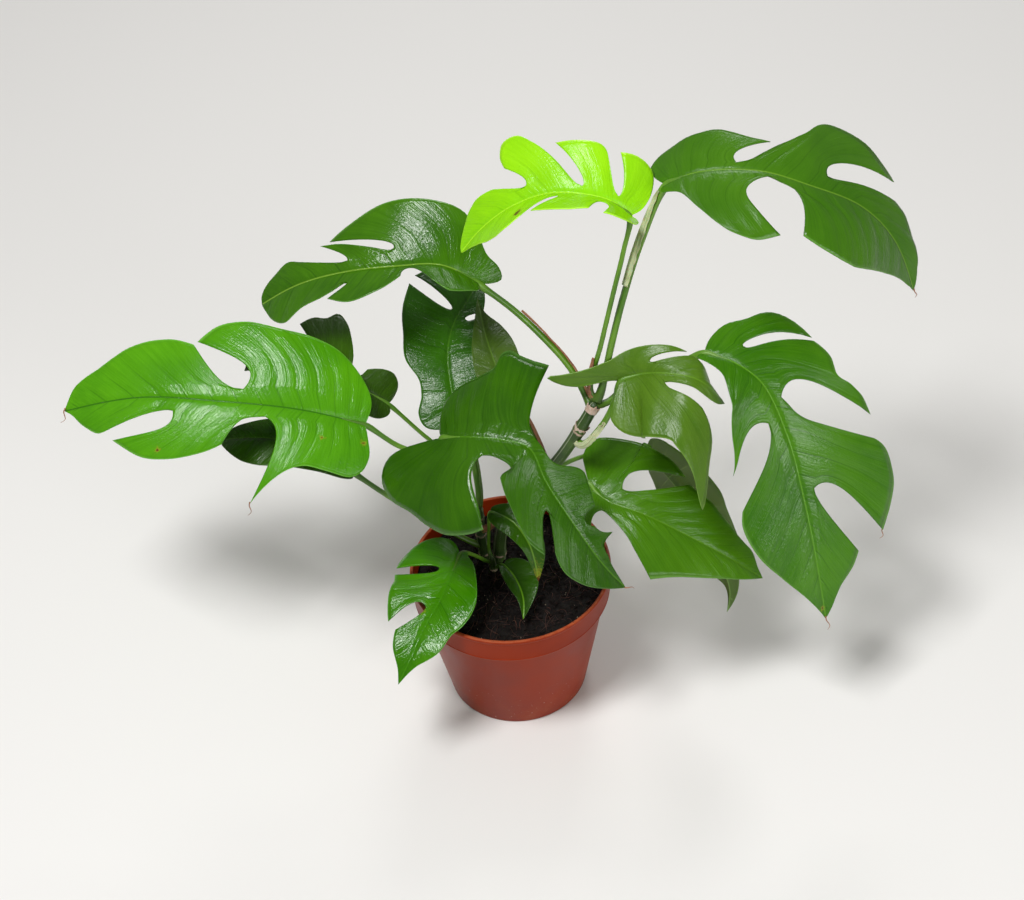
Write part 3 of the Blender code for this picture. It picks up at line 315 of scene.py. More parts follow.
# ------------------------------------------------------------------ curves and flat outlines
def unit(vectors):
    """Vectors scaled to length one."""
    return vectors / np.linalg.norm(vectors, axis=-1, keepdims=True)


def smooth_path(points, count, steps=24):
    """A smooth curve through the points, as count samples an equal distance apart.

    Each stretch is a cubic Hermite curve, and the slope at a point is the mean of its two chords'
    slopes, each weighted by the other chord's length.
    """
    p = np.asarray(points, dtype=float)
    knots = np.concatenate([[0.0], np.cumsum(np.sqrt(np.linalg.norm(np.diff(p, axis=0), axis=1)))])
    span = np.diff(knots)[:, None]
    chord = np.diff(p, axis=0) / span
    slope = np.empty_like(p)
    slope[1:-1] = (chord[:-1] * span[1:] + chord[1:] * span[:-1]) / (span[1:] + span[:-1])
    slope[0] = chord[0] if len(p) == 2 else 1.5 * chord[0] - 0.5 * slope[1]
    slope[-1] = chord[-1] if len(p) == 2 else 1.5 * chord[-1] - 0.5 * slope[-2]
    t = np.linspace(0.0, 1.0, steps, endpoint=False)[None, :, None]
    start, end = p[:-1, None], p[1:, None]
    out, into = slope[:-1, None] * span[:, None], slope[1:, None] * span[:, None]
    curve = ((2 * t**3 - 3 * t**2 + 1) * start + (t**3 - 2 * t**2 + t) * out
             + (3 * t**2 - 2 * t**3) * end + (t**3 - t**2) * into)
    curve = np.concatenate([curve.reshape(-1, p.shape[1]), p[-1:]])
    travelled = np.concatenate([[0.0], np.cumsum(np.linalg.norm(np.diff(curve, axis=0), axis=1))])
    even = np.linspace(0.0, travelled[-1], count)
    return np.stack([np.interp(even, travelled, curve[:, i]) for i in range(p.shape[1])], axis=-1)


def notch_flank(notch, before, after, corner, t):
    """One side of a notch, from its rounded inner end to a lobe's corner, as a cubic Bezier."""
    inner = np.array(notch[:2], dtype=float)
    mouth = (np.array(before, dtype=float) + np.array(after, dtype=float)) / 2
    axis = unit(inner - mouth)
    across = np.array([-axis[1], axis[0]])
    corner = np.array(corner, dtype=float)
    side = 1.0 if np.dot(corner - mouth, across) > 0 else -1.0
    shoulder = inner + side * notch[2] * across
    shoulder[1] = max(shoulder[1], NOTCH_FLOOR * inner[1])
    lower = corner + FLANK_FULLNESS * (shoulder - corner)
    t = t[:, None]
    return ((1 - t)**3 * inner + 3 * (1 - t)**2 * t * shoulder + 3 * (1 - t) * t**2 * lower
            + t**3 * corner)


def split_columns(side, length):
    """The midrib step at which each lobe of a half starts, in order, with the last step."""
    lobes = (len(side) + 1) // 2
    cuts = [0]
    for index in range(1, lobes):
        notch = side[2 * index - 1]
        share = max(notch[0] - VEIN_SLANT * notch[1], 0.0) / length
        place = round(BLADE_COLUMNS * share ** (1 / BASE_CROWDING))
        room = 2 * (lobes - index)
        cuts.append(min(max(place, cuts[-1] + 2), BLADE_COLUMNS - room))
    return cuts + [BLADE_COLUMNS]


def half_blade(side, length):
    """A flat half blade: for each lobe its (along, out) points, its vein count and its row shares.

    A lobe is ruled from its stretch of midrib to its margin.  Its two ends are then pulled onto
    the lines that run from the midrib to the inner end of the notch beside it and on along the
    notch to the corner, by a share that fades with a power of the distance from that end.  The
    vein count grows evenly along each lobe and is a whole number and a half at every notch.
    """
    cuts = split_columns(side, length)
    steps_along = length * np.linspace(0.0, 1.0, BLADE_COLUMNS + 1) ** BASE_CROWDING
    rows = np.linspace(0.0, 1.0, BLADE_ROWS + 1) ** ROW_CROWDING
    notch_row = rows[INNER_ROWS]
    patches = []
    count = 0.5
    for lobe, (first, last) in enumerate(zip(cuts[:-1], cuts[1:])):
        margin = list(side[2 * lobe])
        if lobe == 0:
            margin.insert(0, (0.0, 0.0))
        if lobe == len(cuts) - 2:
            margin.append((length, 0.0))
        steps = last - first
        bottom = np.stack([steps_along[first:last + 1], np.zeros(steps + 1)], axis=-1)
        top = smooth_path(margin, steps + 1)
        edges = []
        for notch_index, foot, corner in ((2 * lobe - 1, bottom[0], top[0]),
                                          (2 * lobe + 1, bottom[-1], top[-1])):
            if notch_index < 0 or notch_index >= len(side):
                edges.append(np.repeat(foot[None], BLADE_ROWS + 1, axis=0))
                continue
            notch = side[notch_index]
            before, after = side[notch_index - 1][-1], side[notch_index + 1][0]
            reach = rows[:INNER_ROWS, None] / notch_row
            inner = foot + reach * (np.array(notch[:2], dtype=float) - foot)
            t = (rows[INNER_ROWS:] - notch_row) / (1 - notch_row)
            edges.append(np.concatenate([inner, notch_flank(notch, before, after, corner, t)]))
        u = np.linspace(0.0, 1.0, steps + 1)[:, None, None]
        v = rows[None, :, None]
        ruled = (1 - v) * bottom[:, None] + v * top[:, None]
        pull_start = (1 - u) ** NOTCH_REACH * (edges[0][None] - ruled[:1])
        pull_end = u ** NOTCH_REACH * (edges[1][None] - ruled[-1:])
        veins = max(1, round(length / VEIN_SPACING * steps / BLADE_COLUMNS))
        flat = ruled + pull_start + pull_end
        patches.append((flat, np.broadcast_to(count + veins * u[..., 0], flat.shape[:2]),
                        np.broadcast_to(rows[None], flat.shape[:2])))
        count += veins
    return patches


# ------------------------------------------------------------------ a blade's place in the plant
class BladeFrame:
    """The bent midrib of one blade, which carries flat points to their place in the plant."""

    SAMPLES = 81

    def __init__(self, blade):
        self.line = smooth_path(blade["midrib"], self.SAMPLES)
        self.length = float(np.linalg.norm(np.diff(self.line, axis=0), axis=1).sum())
        self.along = np.linspace(0.0, self.length, self.SAMPLES)
        self.forward = unit(np.gradient(self.line, axis=0))
        share = np.linspace(0.0, 1.0, self.SAMPLES)[:, None]
        face = np.array(blade["face"][0]) * (1 - share) + np.array(blade["face"][1]) * share
        level = (face * self.forward).sum(axis=-1, keepdims=True) * self.forward
        self.up = unit(face - level)
        self.across = np.cross(self.forward, self.up)
        self.bends = {-1: blade["left_bend"], 1: blade["right_bend"]}

    def read(self, table, x):
        """A vector table's value at each distance along the midrib."""
        return np.stack([np.interp(x, self.along, table[:, i]) for i in range(3)], axis=-1)

    def place(self, flat, hand):
        """Flat points of one half (hand is -1 left, 1 right), and the way its face looks there.

        A line straight out from the midrib becomes an arc: it leaves at the fold angle and turns
        by the curl as it goes out, and both change evenly from the base to the tip.  The face
        looks square to the arc, and turns to the midrib's own up over the first few millimetres.
        """
        x, y = flat[..., 0], flat[..., 1]
        held = np.clip(x, 0.0, self.length)
        share = held / self.length
        fold_base, fold_tip, curl_base, curl_tip = self.bends[hand]
        fold = fold_base * (1 - share) + fold_tip * share
        curl = (curl_base * (1 - share) + curl_tip * share) / LEAN_UNIT
        out = (np.sin(fold + curl * y) - np.sin(fold)) / curl
        rise = (np.cos(fold) - np.cos(fold + curl * y)) / curl
        side = hand * self.read(self.across, held)
        up = self.read(self.up, held)
        points = (self.read(self.line, held) + (x - held)[..., None] * self.read(self.forward, held)
                  + out[..., None] * side + rise[..., None] * up)
        lean = ((fold + curl * y) * (1 - np.exp(-y / 2.0)))[..., None]
        return points, unit(np.cos(lean) * up - np.sin(lean) * side)


# ------------------------------------------------------------------ grids into meshes
WELD = 0.001               # points in the same cell of a lattice this fine (mm) become one


def grid_quads(columns, rows, turned=False, start=0):
    """The four corners of each cell of a grid of points, numbered column by column."""
    corner = (np.arange(columns - 1)[:, None] * rows + np.arange(rows - 1)[None]).ravel() + start
    quads = np.stack([corner, corner + rows, corner + rows + 1, corner + 1], axis=-1)
    return quads[:, ::-1] if turned else quads


def join_grids(grids):
    """Grids of points with fields, and whether each is turned over, as one set of welded arrays."""
    points, quads, fields, start = [], [], {}, 0
    for grid, values, turned in grids:
        points.append(grid.reshape(-1, 3))
        quads.append(grid_quads(*grid.shape[:2], turned, start))
        for name, value in values.items():
            fields.setdefault(name, []).append(np.broadcast_to(value, grid.shape[:2]).ravel())
        start += points[-1].shape[0]
    points, quads = np.concatenate(points), np.concatenate(quads)
    cells = np.round(points / WELD).astype(np.int64)
    _, first, back = np.unique(cells, axis=0, return_index=True, return_inverse=True)
    fields = {name: np.concatenate(value)[first] for name, value in fields.items()}
    return points[first], back.reshape(-1)[quads], fields


def put_mesh(name, points, quads, finishes, finish_of=None, fields=None, replaces=()):
    """A smooth mesh from points in mm and quads; a quad with a repeated corner is a triangle."""
    repeated = quads == np.roll(quads, -1, axis=1)
    whole, thin = repeated.sum(axis=1) == 0, repeated.sum(axis=1) == 1
    faces = quads[whole].tolist() + quads[thin][~repeated[thin]].reshape(-1, 3).tolist()
    data = bpy.data.meshes.new(name)
    data.from_pydata((points * MM).tolist(), [], faces)
    for finish in finishes:
        data.materials.append(finish)
    if finish_of is not None:
        ordered = np.concatenate([finish_of[whole], finish_of[thin]])
        data.polygons.foreach_set("material_index", ordered.astype(np.int32))
    for field, values in (fields or {}).items():
        layer = data.attributes.new(field, "FLOAT", "POINT")
        layer.data.foreach_set("value", values.astype(np.float32))
    data.shade_smooth()
    data.update()
    piece = bpy.data.objects.new(name, data)
    bpy.context.scene.collection.objects.link(piece)
    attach(piece, "root")
    if replaces:
        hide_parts(*replaces)
    return piece


def thick_sheet(points, under, quads, fields):
    """A sheet and its underside as one closed skin, with a rim along every open edge."""
    count = len(points)
    edges = np.concatenate([quads[:, [i, (i + 1) % 4]] for i in range(4)])
    edges = edges[edges[:, 0] != edges[:, 1]]
    keys = edges[:, 0] * count + edges[:, 1]
    open_edges = edges[~np.isin(edges[:, 1] * count + edges[:, 0], keys)]
    rim = np.stack([open_edges[:, 1], open_edges[:, 0], open_edges[:, 0] + count,
                    open_edges[:, 1] + count], axis=-1)
    every = np.concatenate([quads, rim, quads[:, ::-1] + count])
    finish_of = np.concatenate([np.zeros(len(quads) + len(rim)), np.ones(len(quads))])
    doubled = {name: np.concatenate([value, value]) for name, value in fields.items()}
    return np.concatenate([points, under]), every, finish_of, doubled


def closed_sheet(grids):
    """Grids, each of points, points below, fields and turned over or not, as one closed skin."""
    axes = ("below x", "below y", "below z")
    joined = [(points, {**fields, **dict(zip(axes, np.moveaxis(below, -1, 0)))}, turned)
              for points, below, fields, turned in grids]
    points, quads, fields = join_grids(joined)
    under = np.stack([fields.pop(axis) for axis in axes], axis=-1)
    return thick_sheet(points, under, quads, fields)


def carried_ring(path, top, radius, sides):
    """A ring carried along a path, closed at both ends.

    A point is the path's point plus a radius turned about the path, where radius is a function of
    the turn from the top side and the share of the way.  The top side is carried along the path
    without twisting, and ends as the one given.
    """
    forward = unit(np.gradient(path, axis=0))
    tops = np.empty_like(path)
    tops[-1] = unit(top - (top @ forward[-1]) * forward[-1])
    for station in range(len(path) - 2, -1, -1):
        held = tops[station + 1] - (tops[station + 1] @ forward[station]) * forward[station]
        tops[station] = held / np.linalg.norm(held)
    side = np.cross(forward, tops)
    turn = np.append(np.linspace(0.0, math.tau, sides, endpoint=False), 0.0)
    share = np.linspace(0.0, 1.0, len(path))
    reach = radius(turn[None, :], share[:, None])
    points = (path[:, None] + reach[..., None] * (np.cos(turn)[None, :, None] * tops[:, None]
                                                  + np.sin(turn)[None, :, None] * side[:, None]))
    ends = [np.repeat(path[i][None, None], sides + 1, axis=1) for i in (0, -1)]
    shares = np.concatenate([[0.0], share, [1.0]])[:, None]
    return np.concatenate([ends[0], points, ends[1]]), turn[None, :], shares


# ------------------------------------------------------------------ node trees
class Bench:
    """Adds nodes to one tree; an input is given as a value or as the socket that it comes from."""

    def __init__(self, tree):
        self.tree = tree

    def node(self, kind, settings=None, **inputs):
        made = self.tree.nodes.new("ShaderNode" + kind)
        for name, value in (settings or {}).items():
            setattr(made, name, value)
        for name, value in inputs.items():
            self.give(made.inputs[name.replace("_", " ")], value)
        return made

    def give(self, socket, value):
        if isinstance(value, bpy.types.NodeSocket):
            self.tree.links.new(value, socket)
        else:
            socket.default_value = value

    def math(self, operation, first, second=0.0, third=0.0, clamp=False):
        made = self.node("Math", dict(operation=operation, use_clamp=clamp))
        for socket, value in zip(made.inputs, (first, second, third)):
            self.give(socket, value)
        return made.outputs[0]

    def mix(self, share, first, second):
        made = self.node("Mix", dict(data_type="RGBA"))
        self.give(made.inputs[0], share)
        for socket, value in ((made.inputs[6], first), (made.inputs[7], second)):
            self.give(socket, value if isinstance(value, bpy.types.NodeSocket) else (*value, 1.0))
        return made.outputs[2]

    def ramp(self, value, low, high, start=0.0, end=1.0):
        made = self.node("MapRange", dict(interpolation_type="SMOOTHSTEP"), Value=value,
                         From_Min=low, From_Max=high, To_Min=start, To_Max=end)
        return made.outputs["Result"]

    def noise(self, vector, scale, detail=2.0, roughness=0.5):
        made = self.node("TexNoise", Vector=vector, Scale=scale, Detail=detail,
                         Roughness=roughness)
        return made.outputs["Fac"]

    def field(self, name):
        return self.node("Attribute", dict(attribute_name=name)).outputs["Fac"]

    def object_place(self):
        return self.node("TexCoord").outputs["Object"]

    def joined(self, x=0.0, y=0.0, z=0.0):
        return self.node("CombineXYZ", X=x, Y=y, Z=z).outputs[0]

    def bump(self, height, strength, distance):
        return self.node("Bump", Height=height, Strength=strength, Distance=distance).outputs[0]

    def group(self, shared, **inputs):
        return self.node("Group", dict(node_tree=shared), **inputs).outputs


def shared_effect(name, inputs, outputs):
    """A new node group with its named inputs (name, kind, value) and outputs (name, kind)."""
    tree = bpy.data.node_groups.new(name, "ShaderNodeTree")
    for label, kind, value in inputs:
        socket = tree.interface.new_socket(label, in_out="INPUT", socket_type="NodeSocket" + kind)
        if value is not None:
            socket.default_value = value
    for label, kind in outputs:
        tree.interface.new_socket(label, in_out="OUTPUT", socket_type="NodeSocket" + kind)
    return Bench(tree), tree.nodes.new("NodeGroupInput").outputs, tree.nodes.new("NodeGroupOutput")


def vein_lines():
    """Masks of a blade's midrib, side veins and streaks, and of its margin for a painted highlight.
    """
    bench, given, result = shared_effect(
        "vein lines",
        [("Vein Count", "Float", 0.0), ("Across", "Float", 0.0), ("Out", "Float", 0.0)],
        [("Midrib", "Float"), ("Side Vein", "Float"), ("Streak", "Float"), ("Margin", "Float")])
    count, across, out = given["Vein Count"], given["Across"], given["Out"]
    share = bench.math("ABSOLUTE", across)
    wave = bench.math("ABSOLUTE", bench.math("SINE", bench.math("MULTIPLY", count, math.pi)))
    inner = bench.ramp(share, 0.95, 0.35)
    midrib = bench.ramp(out, 0.65, 0.2)
    vein = bench.math("MULTIPLY", bench.ramp(wave, 0.16, 0.0), inner)
    along = bench.joined(bench.math("MULTIPLY", count, 9.0), bench.math("MULTIPLY", across, 1.6))
    streak = bench.noise(along, 1.0, 3.0, 0.62)
    for label, value in (("Midrib", midrib), ("Side Vein", vein), ("Streak", streak),
                         ("Margin", bench.ramp(share, 0.975, 0.995))):
        bench.give(result.inputs[label], value)
    return bench.tree


def blemish():
    """A dead spot: masks of its brown core and of the yellow ring round it, with a ragged edge."""
    bench, given, result = shared_effect(
        "blemish",
        [("Place", "Vector", None), ("Centre", "Vector", None), ("Core", "Float", 0.002),
         ("Ring", "Float", 0.005)],
        [("Core", "Float"), ("Ring", "Float")])
    gap = bench.node("VectorMath", dict(operation="DISTANCE"))
    bench.give(gap.inputs[0], given["Place"])
    bench.give(gap.inputs[1], given["Centre"])
    ragged = bench.math("MULTIPLY", bench.noise(given["Place"], 650.0, 3.0, 0.6), 2.6)
    far = bench.math("MULTIPLY", gap.outputs["Value"], bench.math("SUBTRACT", ragged, 0.3))
    for label, fade in (("Core", 0.75), ("Ring", 0.2)):
        inside = bench.math("DIVIDE", far, given[label])
        bench.give(result.inputs[label], bench.ramp(inside, 1.2, fade))
    return bench.tree


def fine_grain():
    """Small unevenness: a coarse swell with a fine grain on it, and the swell by itself."""
    bench, given, result = shared_effect(
        "fine grain",
        [("Place", "Vector", None), ("Swell Scale", "Float", 60.0),
        ("Grain Scale", "Float", 900.0)],
        [("Height", "Float"), ("Swell", "Float")])
    swell = bench.node("TexNoise", Vector=given["Place"], Scale=given["Swell Scale"], Detail=3.0)
    grain = bench.node("TexNoise", Vector=given["Place"], Scale=given["Grain Scale"], Detail=2.0)
    height = bench.math("MULTIPLY_ADD", grain.outputs["Fac"], 0.4, swell.outputs["Fac"])
    bench.give(result.inputs["Height"], height)
    bench.give(result.inputs["Swell"], swell.outputs["Fac"])
    return bench.tree


VEIN_LINES = vein_lines()
BLEMISH = blemish()
FINE_GRAIN = fine_grain()


def new_finish(name, **constants):
    """A material with its Principled shader, whose constant sockets take the values given."""
    material = bpy.data.materials.new(name)
    material.use_nodes = True
    shader = material.node_tree.nodes["Principled BSDF"]
    for label, value in constants.items():
        shader.inputs[label.replace("_", " ")].default_value = value
    return material, Bench(material.node_tree), shader.inputs


# Dead spots of a blade: place on its flat outline (along, out), hand, core and ring radius in mm.
SPOTS = {
    "newest": [((65, 13), -1, 1.9, 3.6)],
    "far_left": [((24, 14), -1, 0.5, 1.5), ((-1, 11), -1, 0.8, 1.8), ((118, 31), -1, 0.7, 1.8)],
    "small_front": [((46, 6), 1, 1.1, 2.2)],
    "young_centre": [((58, 0), 1, 3.4, 11.0)],
    "far_right": [((181, 1), 1, 0.6, 1.8)],
}


def leaf_marks(bench, swell_scale, grain_scale):
    """The vein lines and the fine grain of a leaf, and the place they are read at."""
    place = bench.object_place()
    marks = bench.group(VEIN_LINES, Vein_Count=bench.field("vein"), Across=bench.field("across"),
                        Out=bench.field("out"))
    grain = bench.group(FINE_GRAIN, Place=place, Swell_Scale=swell_scale, Grain_Scale=grain_scale)
    return place, marks, grain


def leaf_skin(name):
    """Upper skin of a leaf: patchy green, a pale or dark midrib, side veins darkened by painted
    shade in their grooves, a painted highlight along the margin, glossy streaks along the veins.
    """
    deep, light, rib, roughness, veins = LEAF_TONES[name]
    material, bench, shader = new_finish(f"leaf skin {name}", IOR=1.42, Specular_IOR_Level=0.36)
    place, marks, grain = leaf_marks(bench, 28.0, 620.0)
    patch = bench.ramp(grain["Swell"], 0.25, 0.75, 0.25, 0.75)
    streaky = bench.math("MULTIPLY_ADD", bench.math("SUBTRACT", marks["Streak"], 0.5), 0.8, patch,
                         clamp=True)
    green = bench.mix(streaky, deep, light)
    # painted shade: the grooves of the side veins are darkened towards three quarters of the deep
    # green
    vein_groove_shade = bench.math("MULTIPLY", marks["Side Vein"], veins)
    green = bench.mix(vein_groove_shade, green, [0.75 * tone for tone in deep])
    # painted highlight: the upper skin is lightened to a pale green along the margin
    margin_highlight = bench.math("MULTIPLY", marks["Margin"], 0.55)
    green = bench.mix(margin_highlight, green, [min(1.0, 1.6 * a + 0.05) for a in light])
    green = bench.mix(marks["Midrib"], green, rib)
    for flat, hand, core, ring in SPOTS.get(name, ()):
        centre, _ = BladeFrame(BLADES[name]).place(np.array(flat, dtype=float), hand)
        spot = bench.group(BLEMISH, Place=place, Centre=(centre * MM).tolist(),
                           Core=core * MM, Ring=ring * MM)
        green = bench.mix(spot["Ring"], green, (0.24, 0.27, 0.015))
        green = bench.mix(spot["Core"], green, (0.10, 0.035, 0.008))
    bench.give(shader["Base Color"], green)
    dull = bench.math("MULTIPLY_ADD", marks["Streak"], 0.2, roughness - 0.2)
    bench.give(shader["Roughness"], dull)
    height = bench.math("ADD", marks["Streak"], grain["Height"])
    bench.give(shader["Normal"], bench.bump(height, 0.5, 0.0007))
    return material


def leaf_back(name):
    """Underside of a leaf: paler, matter green with raised pale veins."""
    deep, light = LEAF_TONES[name][:2]
    material, bench, shader = new_finish(f"leaf back {name}", Subsurface_Weight=0.08,
                                         Subsurface_Scale=0.002)
    shader["Subsurface Radius"].default_value = (0.5, 1.0, 0.15)
    _, marks, grain = leaf_marks(bench, 40.0, 900.0)
    pale = [0.6 * a + 0.4 * b + c for a, b, c in zip(deep, light, (0.045, 0.06, 0.02))]
    paler = [1.35 * tone for tone in pale]
    green = bench.mix(grain["Swell"], pale, paler)
    line = bench.math("MAXIMUM", marks["Midrib"], bench.math("MULTIPLY", marks["Side Vein"], 0.6))
    green = bench.mix(line, green, [min(1.0, 1.5 * tone + 0.03) for tone in paler])
    bench.give(shader["Base Color"], green)
    bench.give(shader["Roughness"], bench.ramp(grain["Swell"], 0.2, 0.8, 0.5, 0.62))
    height = bench.math("ADD", bench.math("MULTIPLY", line, 1.2), grain["Height"])
    bench.give(shader["Normal"], bench.bump(height, 0.3, 0.0005))
    return material


def stalk_skin():
    """Smooth yellow-green skin of the leaf stalks, with lengthwise lines and a deeper foot."""
    material, bench, shader = new_finish("stalk skin", Subsurface_Weight=0.08,
                                         Subsurface_Scale=0.002)
    shader["Subsurface Radius"].default_value = (0.6, 1.0, 0.15)
    place = bench.object_place()
    grain = bench.group(FINE_GRAIN, Place=place, Swell_Scale=45.0, Grain_Scale=1100.0)
    turn, way = bench.field("turn"), bench.field("way")
    lines = bench.noise(bench.joined(bench.math("MULTIPLY", turn, 5.0),
                                     bench.math("MULTIPLY", way, 2.5)), 1.0, 3.0)
    green = bench.mix(bench.ramp(grain["Swell"], 0.35, 0.65), (0.05, 0.15, 0.006),
                      (0.11, 0.25, 0.014))
    green = bench.mix(bench.ramp(lines, 0.45, 0.7, 0.0, 0.5), green, (0.16, 0.30, 0.03))
    green = bench.mix(bench.ramp(way, 0.14, 0.0, 0.0, 0.6), green, (0.05, 0.085, 0.012))
    bench.give(shader["Base Color"], green)
    bench.give(shader["Roughness"], bench.ramp(lines, 0.3, 0.7, 0.34, 0.46))
    height = bench.math("ADD", lines, grain["Height"])
    bench.give(shader["Normal"], bench.bump(height, 0.3, 0.0004))
    return material


def cane_skin():
    """Dark green stem with pale papery rings at its nodes and thin pale edge lines."""
    material, bench, shader = new_finish("cane skin")
    place = bench.object_place()
    grain = bench.group(FINE_GRAIN, Place=place, Swell_Scale=70.0, Grain_Scale=1200.0)
    turn, ring = bench.field("turn"), bench.field("ring")
    green = bench.mix(bench.ramp(grain["Swell"], 0.35, 0.65), (0.022, 0.055, 0.008),
                      (0.055, 0.11, 0.018))
    keel = bench.math("ABSOLUTE", bench.math("SINE", bench.math("MULTIPLY", turn, 1.5)))
    green = bench.mix(bench.ramp(keel, 0.995, 1.0, 0.0, 0.8), green, (0.55, 0.55, 0.42))
    scar = bench.math("MULTIPLY", bench.ramp(ring, 0.55, 0.85),
                      bench.ramp(bench.noise(place, 500.0, 3.0), 0.35, 0.6))
    green = bench.mix(scar, green, (0.45, 0.33, 0.25))
    bench.give(shader["Base Color"], green)
    bench.give(shader["Roughness"], bench.ramp(grain["Swell"], 0.3, 0.7, 0.42, 0.58))
    bench.give(shader["Normal"], bench.bump(grain["Height"], 0.4, 0.0005))
    return material


def papery_skin(name, dark, pale, clear):
    """Dry sheath: lengthwise fibres over blotches, dull, and thin enough to glow a little."""
    material, bench, shader = new_finish(name, Subsurface_Weight=clear, Subsurface_Scale=0.001)
    place = bench.object_place()
    turn, way = bench.field("turn"), bench.field("way")
    fibres = bench.noise(bench.joined(bench.math("MULTIPLY", turn, 22.0),
                                      bench.math("MULTIPLY", way, 2.0)), 1.0, 4.0, 0.7)
    blotch = bench.noise(place, 130.0, 3.0)
    tone = bench.math("MULTIPLY_ADD", fibres, 0.8, bench.math("MULTIPLY", blotch, 0.6))
    colour = bench.mix(bench.ramp(tone, 0.45, 0.95), dark, pale)
    bench.give(shader["Base Color"], colour)
    bench.give(shader["Roughness"], bench.ramp(fibres, 0.3, 0.7, 0.55, 0.8))
    bench.give(shader["Normal"], bench.bump(fibres, 0.6, 0.0005))
    return material


def pot_plastic():
    """Satin terracotta plastic: faint mottling, a painted highlight along the top of the rim, dust
    low down, fine grain.
    """
    material, bench, shader = new_finish("pot plastic", IOR=1.45, Specular_IOR_Level=0.16)
    place = bench.object_place()
    grain = bench.group(FINE_GRAIN, Place=place, Swell_Scale=22.0, Grain_Scale=1500.0)
    height = bench.node("SeparateXYZ", Vector=place).outputs["Z"]
    colour = bench.mix(bench.ramp(grain["Swell"], 0.3, 0.7), (0.20, 0.016, 0.001),
                       (0.26, 0.024, 0.002))
    ragged = bench.math("MULTIPLY", bench.noise(place, 260.0, 4.0, 0.7), 0.0016)
    rim = (POT_HEIGHT + 0.1) * MM
    # painted highlight: the top of the rim is lightened to a pale orange, with a ragged lower edge
    rim_highlight = bench.ramp(bench.math("ADD", height, ragged), rim, rim + 0.9 * MM, 0.0, 0.55)
    colour = bench.mix(rim_highlight, colour, (0.46, 0.12, 0.045))
    dust = bench.math("MULTIPLY", bench.ramp(height, 0.035, 0.0),
                      bench.ramp(bench.noise(place, 90.0, 5.0, 0.7), 0.4, 0.75, 0.0, 0.28))
    colour = bench.mix(dust, colour, (0.34, 0.12, 0.05))
    chip = bench.ramp(bench.noise(place, 700.0, 1.0), 0.74, 0.78, 0.0, 0.8)
    colour = bench.mix(bench.math("MULTIPLY", chip, bench.ramp(height, 0.05, 0.0)), colour,
                       (0.7, 0.62, 0.55))
    bench.give(shader["Base Color"], colour)
    bench.give(shader["Roughness"], bench.ramp(grain["Swell"], 0.3, 0.7, 0.36, 0.46))
    bench.give(shader["Normal"], bench.bump(grain["Height"], 0.18, 0.0004))
    return material


def peat_soil(name, dark, brown):
    """Damp peat: near-black with brown flecks and a crumbly surface."""
    material, bench, shader = new_finish(name, Specular_IOR_Level=0.25)
    place = bench.object_place()
    grain = bench.group(FINE_GRAIN, Place=place, Swell_Scale=240.0, Grain_Scale=900.0)
    flecks = bench.ramp(bench.noise(place, 650.0, 4.0, 0.65), 0.5, 0.75)
    colour = bench.mix(flecks, dark, brown)
    bench.give(shader["Base Color"], colour)
    bench.give(shader["Roughness"], bench.ramp(grain["Swell"], 0.35, 0.65, 0.7, 0.98))
    bench.give(shader["Normal"], bench.bump(grain["Height"], 0.9, 0.0015))
    return material


# ------------------------------------------------------------------ leaves
GROOVE_DEPTH = 0.5         # the groove along the midrib
GROOVE_WIDTH = 1.4
CALM_WIDTH = 4.0           # how far out from the midrib the relief grows to its full height
QUILT = 0.6                # how far the blade swells between its side veins
RIPPLE = 1.1               # how far the margin waves up and down
RIPPLES = {"left_back": 2.6, "behind_centre": 1.8, "centre_back": 1.6}   # where it waves more
VEIN_RIB = 0.25            # how far a side vein stands out below
RNG = np.random.default_rng(20)


def blade_relief(flat, vein, across, ripple, waves):
    """Height of a blade's face above its bent sheet, in mm.

    A narrow groove follows the midrib.  Between the side veins the face swells as a power of a
    sine of the vein count, and towards the margin it waves slowly with the square of the way out.
    Both fade to nothing at the midrib, so that the halves and lobes meet.
    """
    y = flat[..., 1]
    share = np.abs(across)
    away = 1 - np.exp(-(y / CALM_WIDTH) ** 2)
    groove = -GROOVE_DEPTH * np.exp(-(y / GROOVE_WIDTH) ** 2)
    pillow = np.abs(np.sin(np.pi * vein)) ** 0.7 - 0.6
    slow = sum(size * np.sin(rate * vein + start) for size, rate, start in waves)
    return groove + away * (QUILT * pillow * (1 - 0.6 * share**2) + ripple * slow * share**2)


def blade_depth(flat, vein, rows, length):
    """Thickness of a blade in mm: a sheet, a rib below its midrib and finer ones below its veins.

    The ribs are bell curves of the distance from the midrib and of a sine of the vein count.  All
    fade towards the tip, and the side veins fade towards the margin and at the midrib too.
    """
    x, y = flat[..., 0], flat[..., 1]
    left = np.clip(1 - x / length, 0.0, 1.0)
    return (BLADE_THICKNESS + RIB_THICKNESS * left**0.8 * np.exp(-(y / 2.0) ** 2)
            + VEIN_RIB * left * np.exp(-(np.sin(np.pi * vein) / 0.25) ** 2)
            * (1 - rows) * (1 - np.exp(-(y / 3.0) ** 2)))


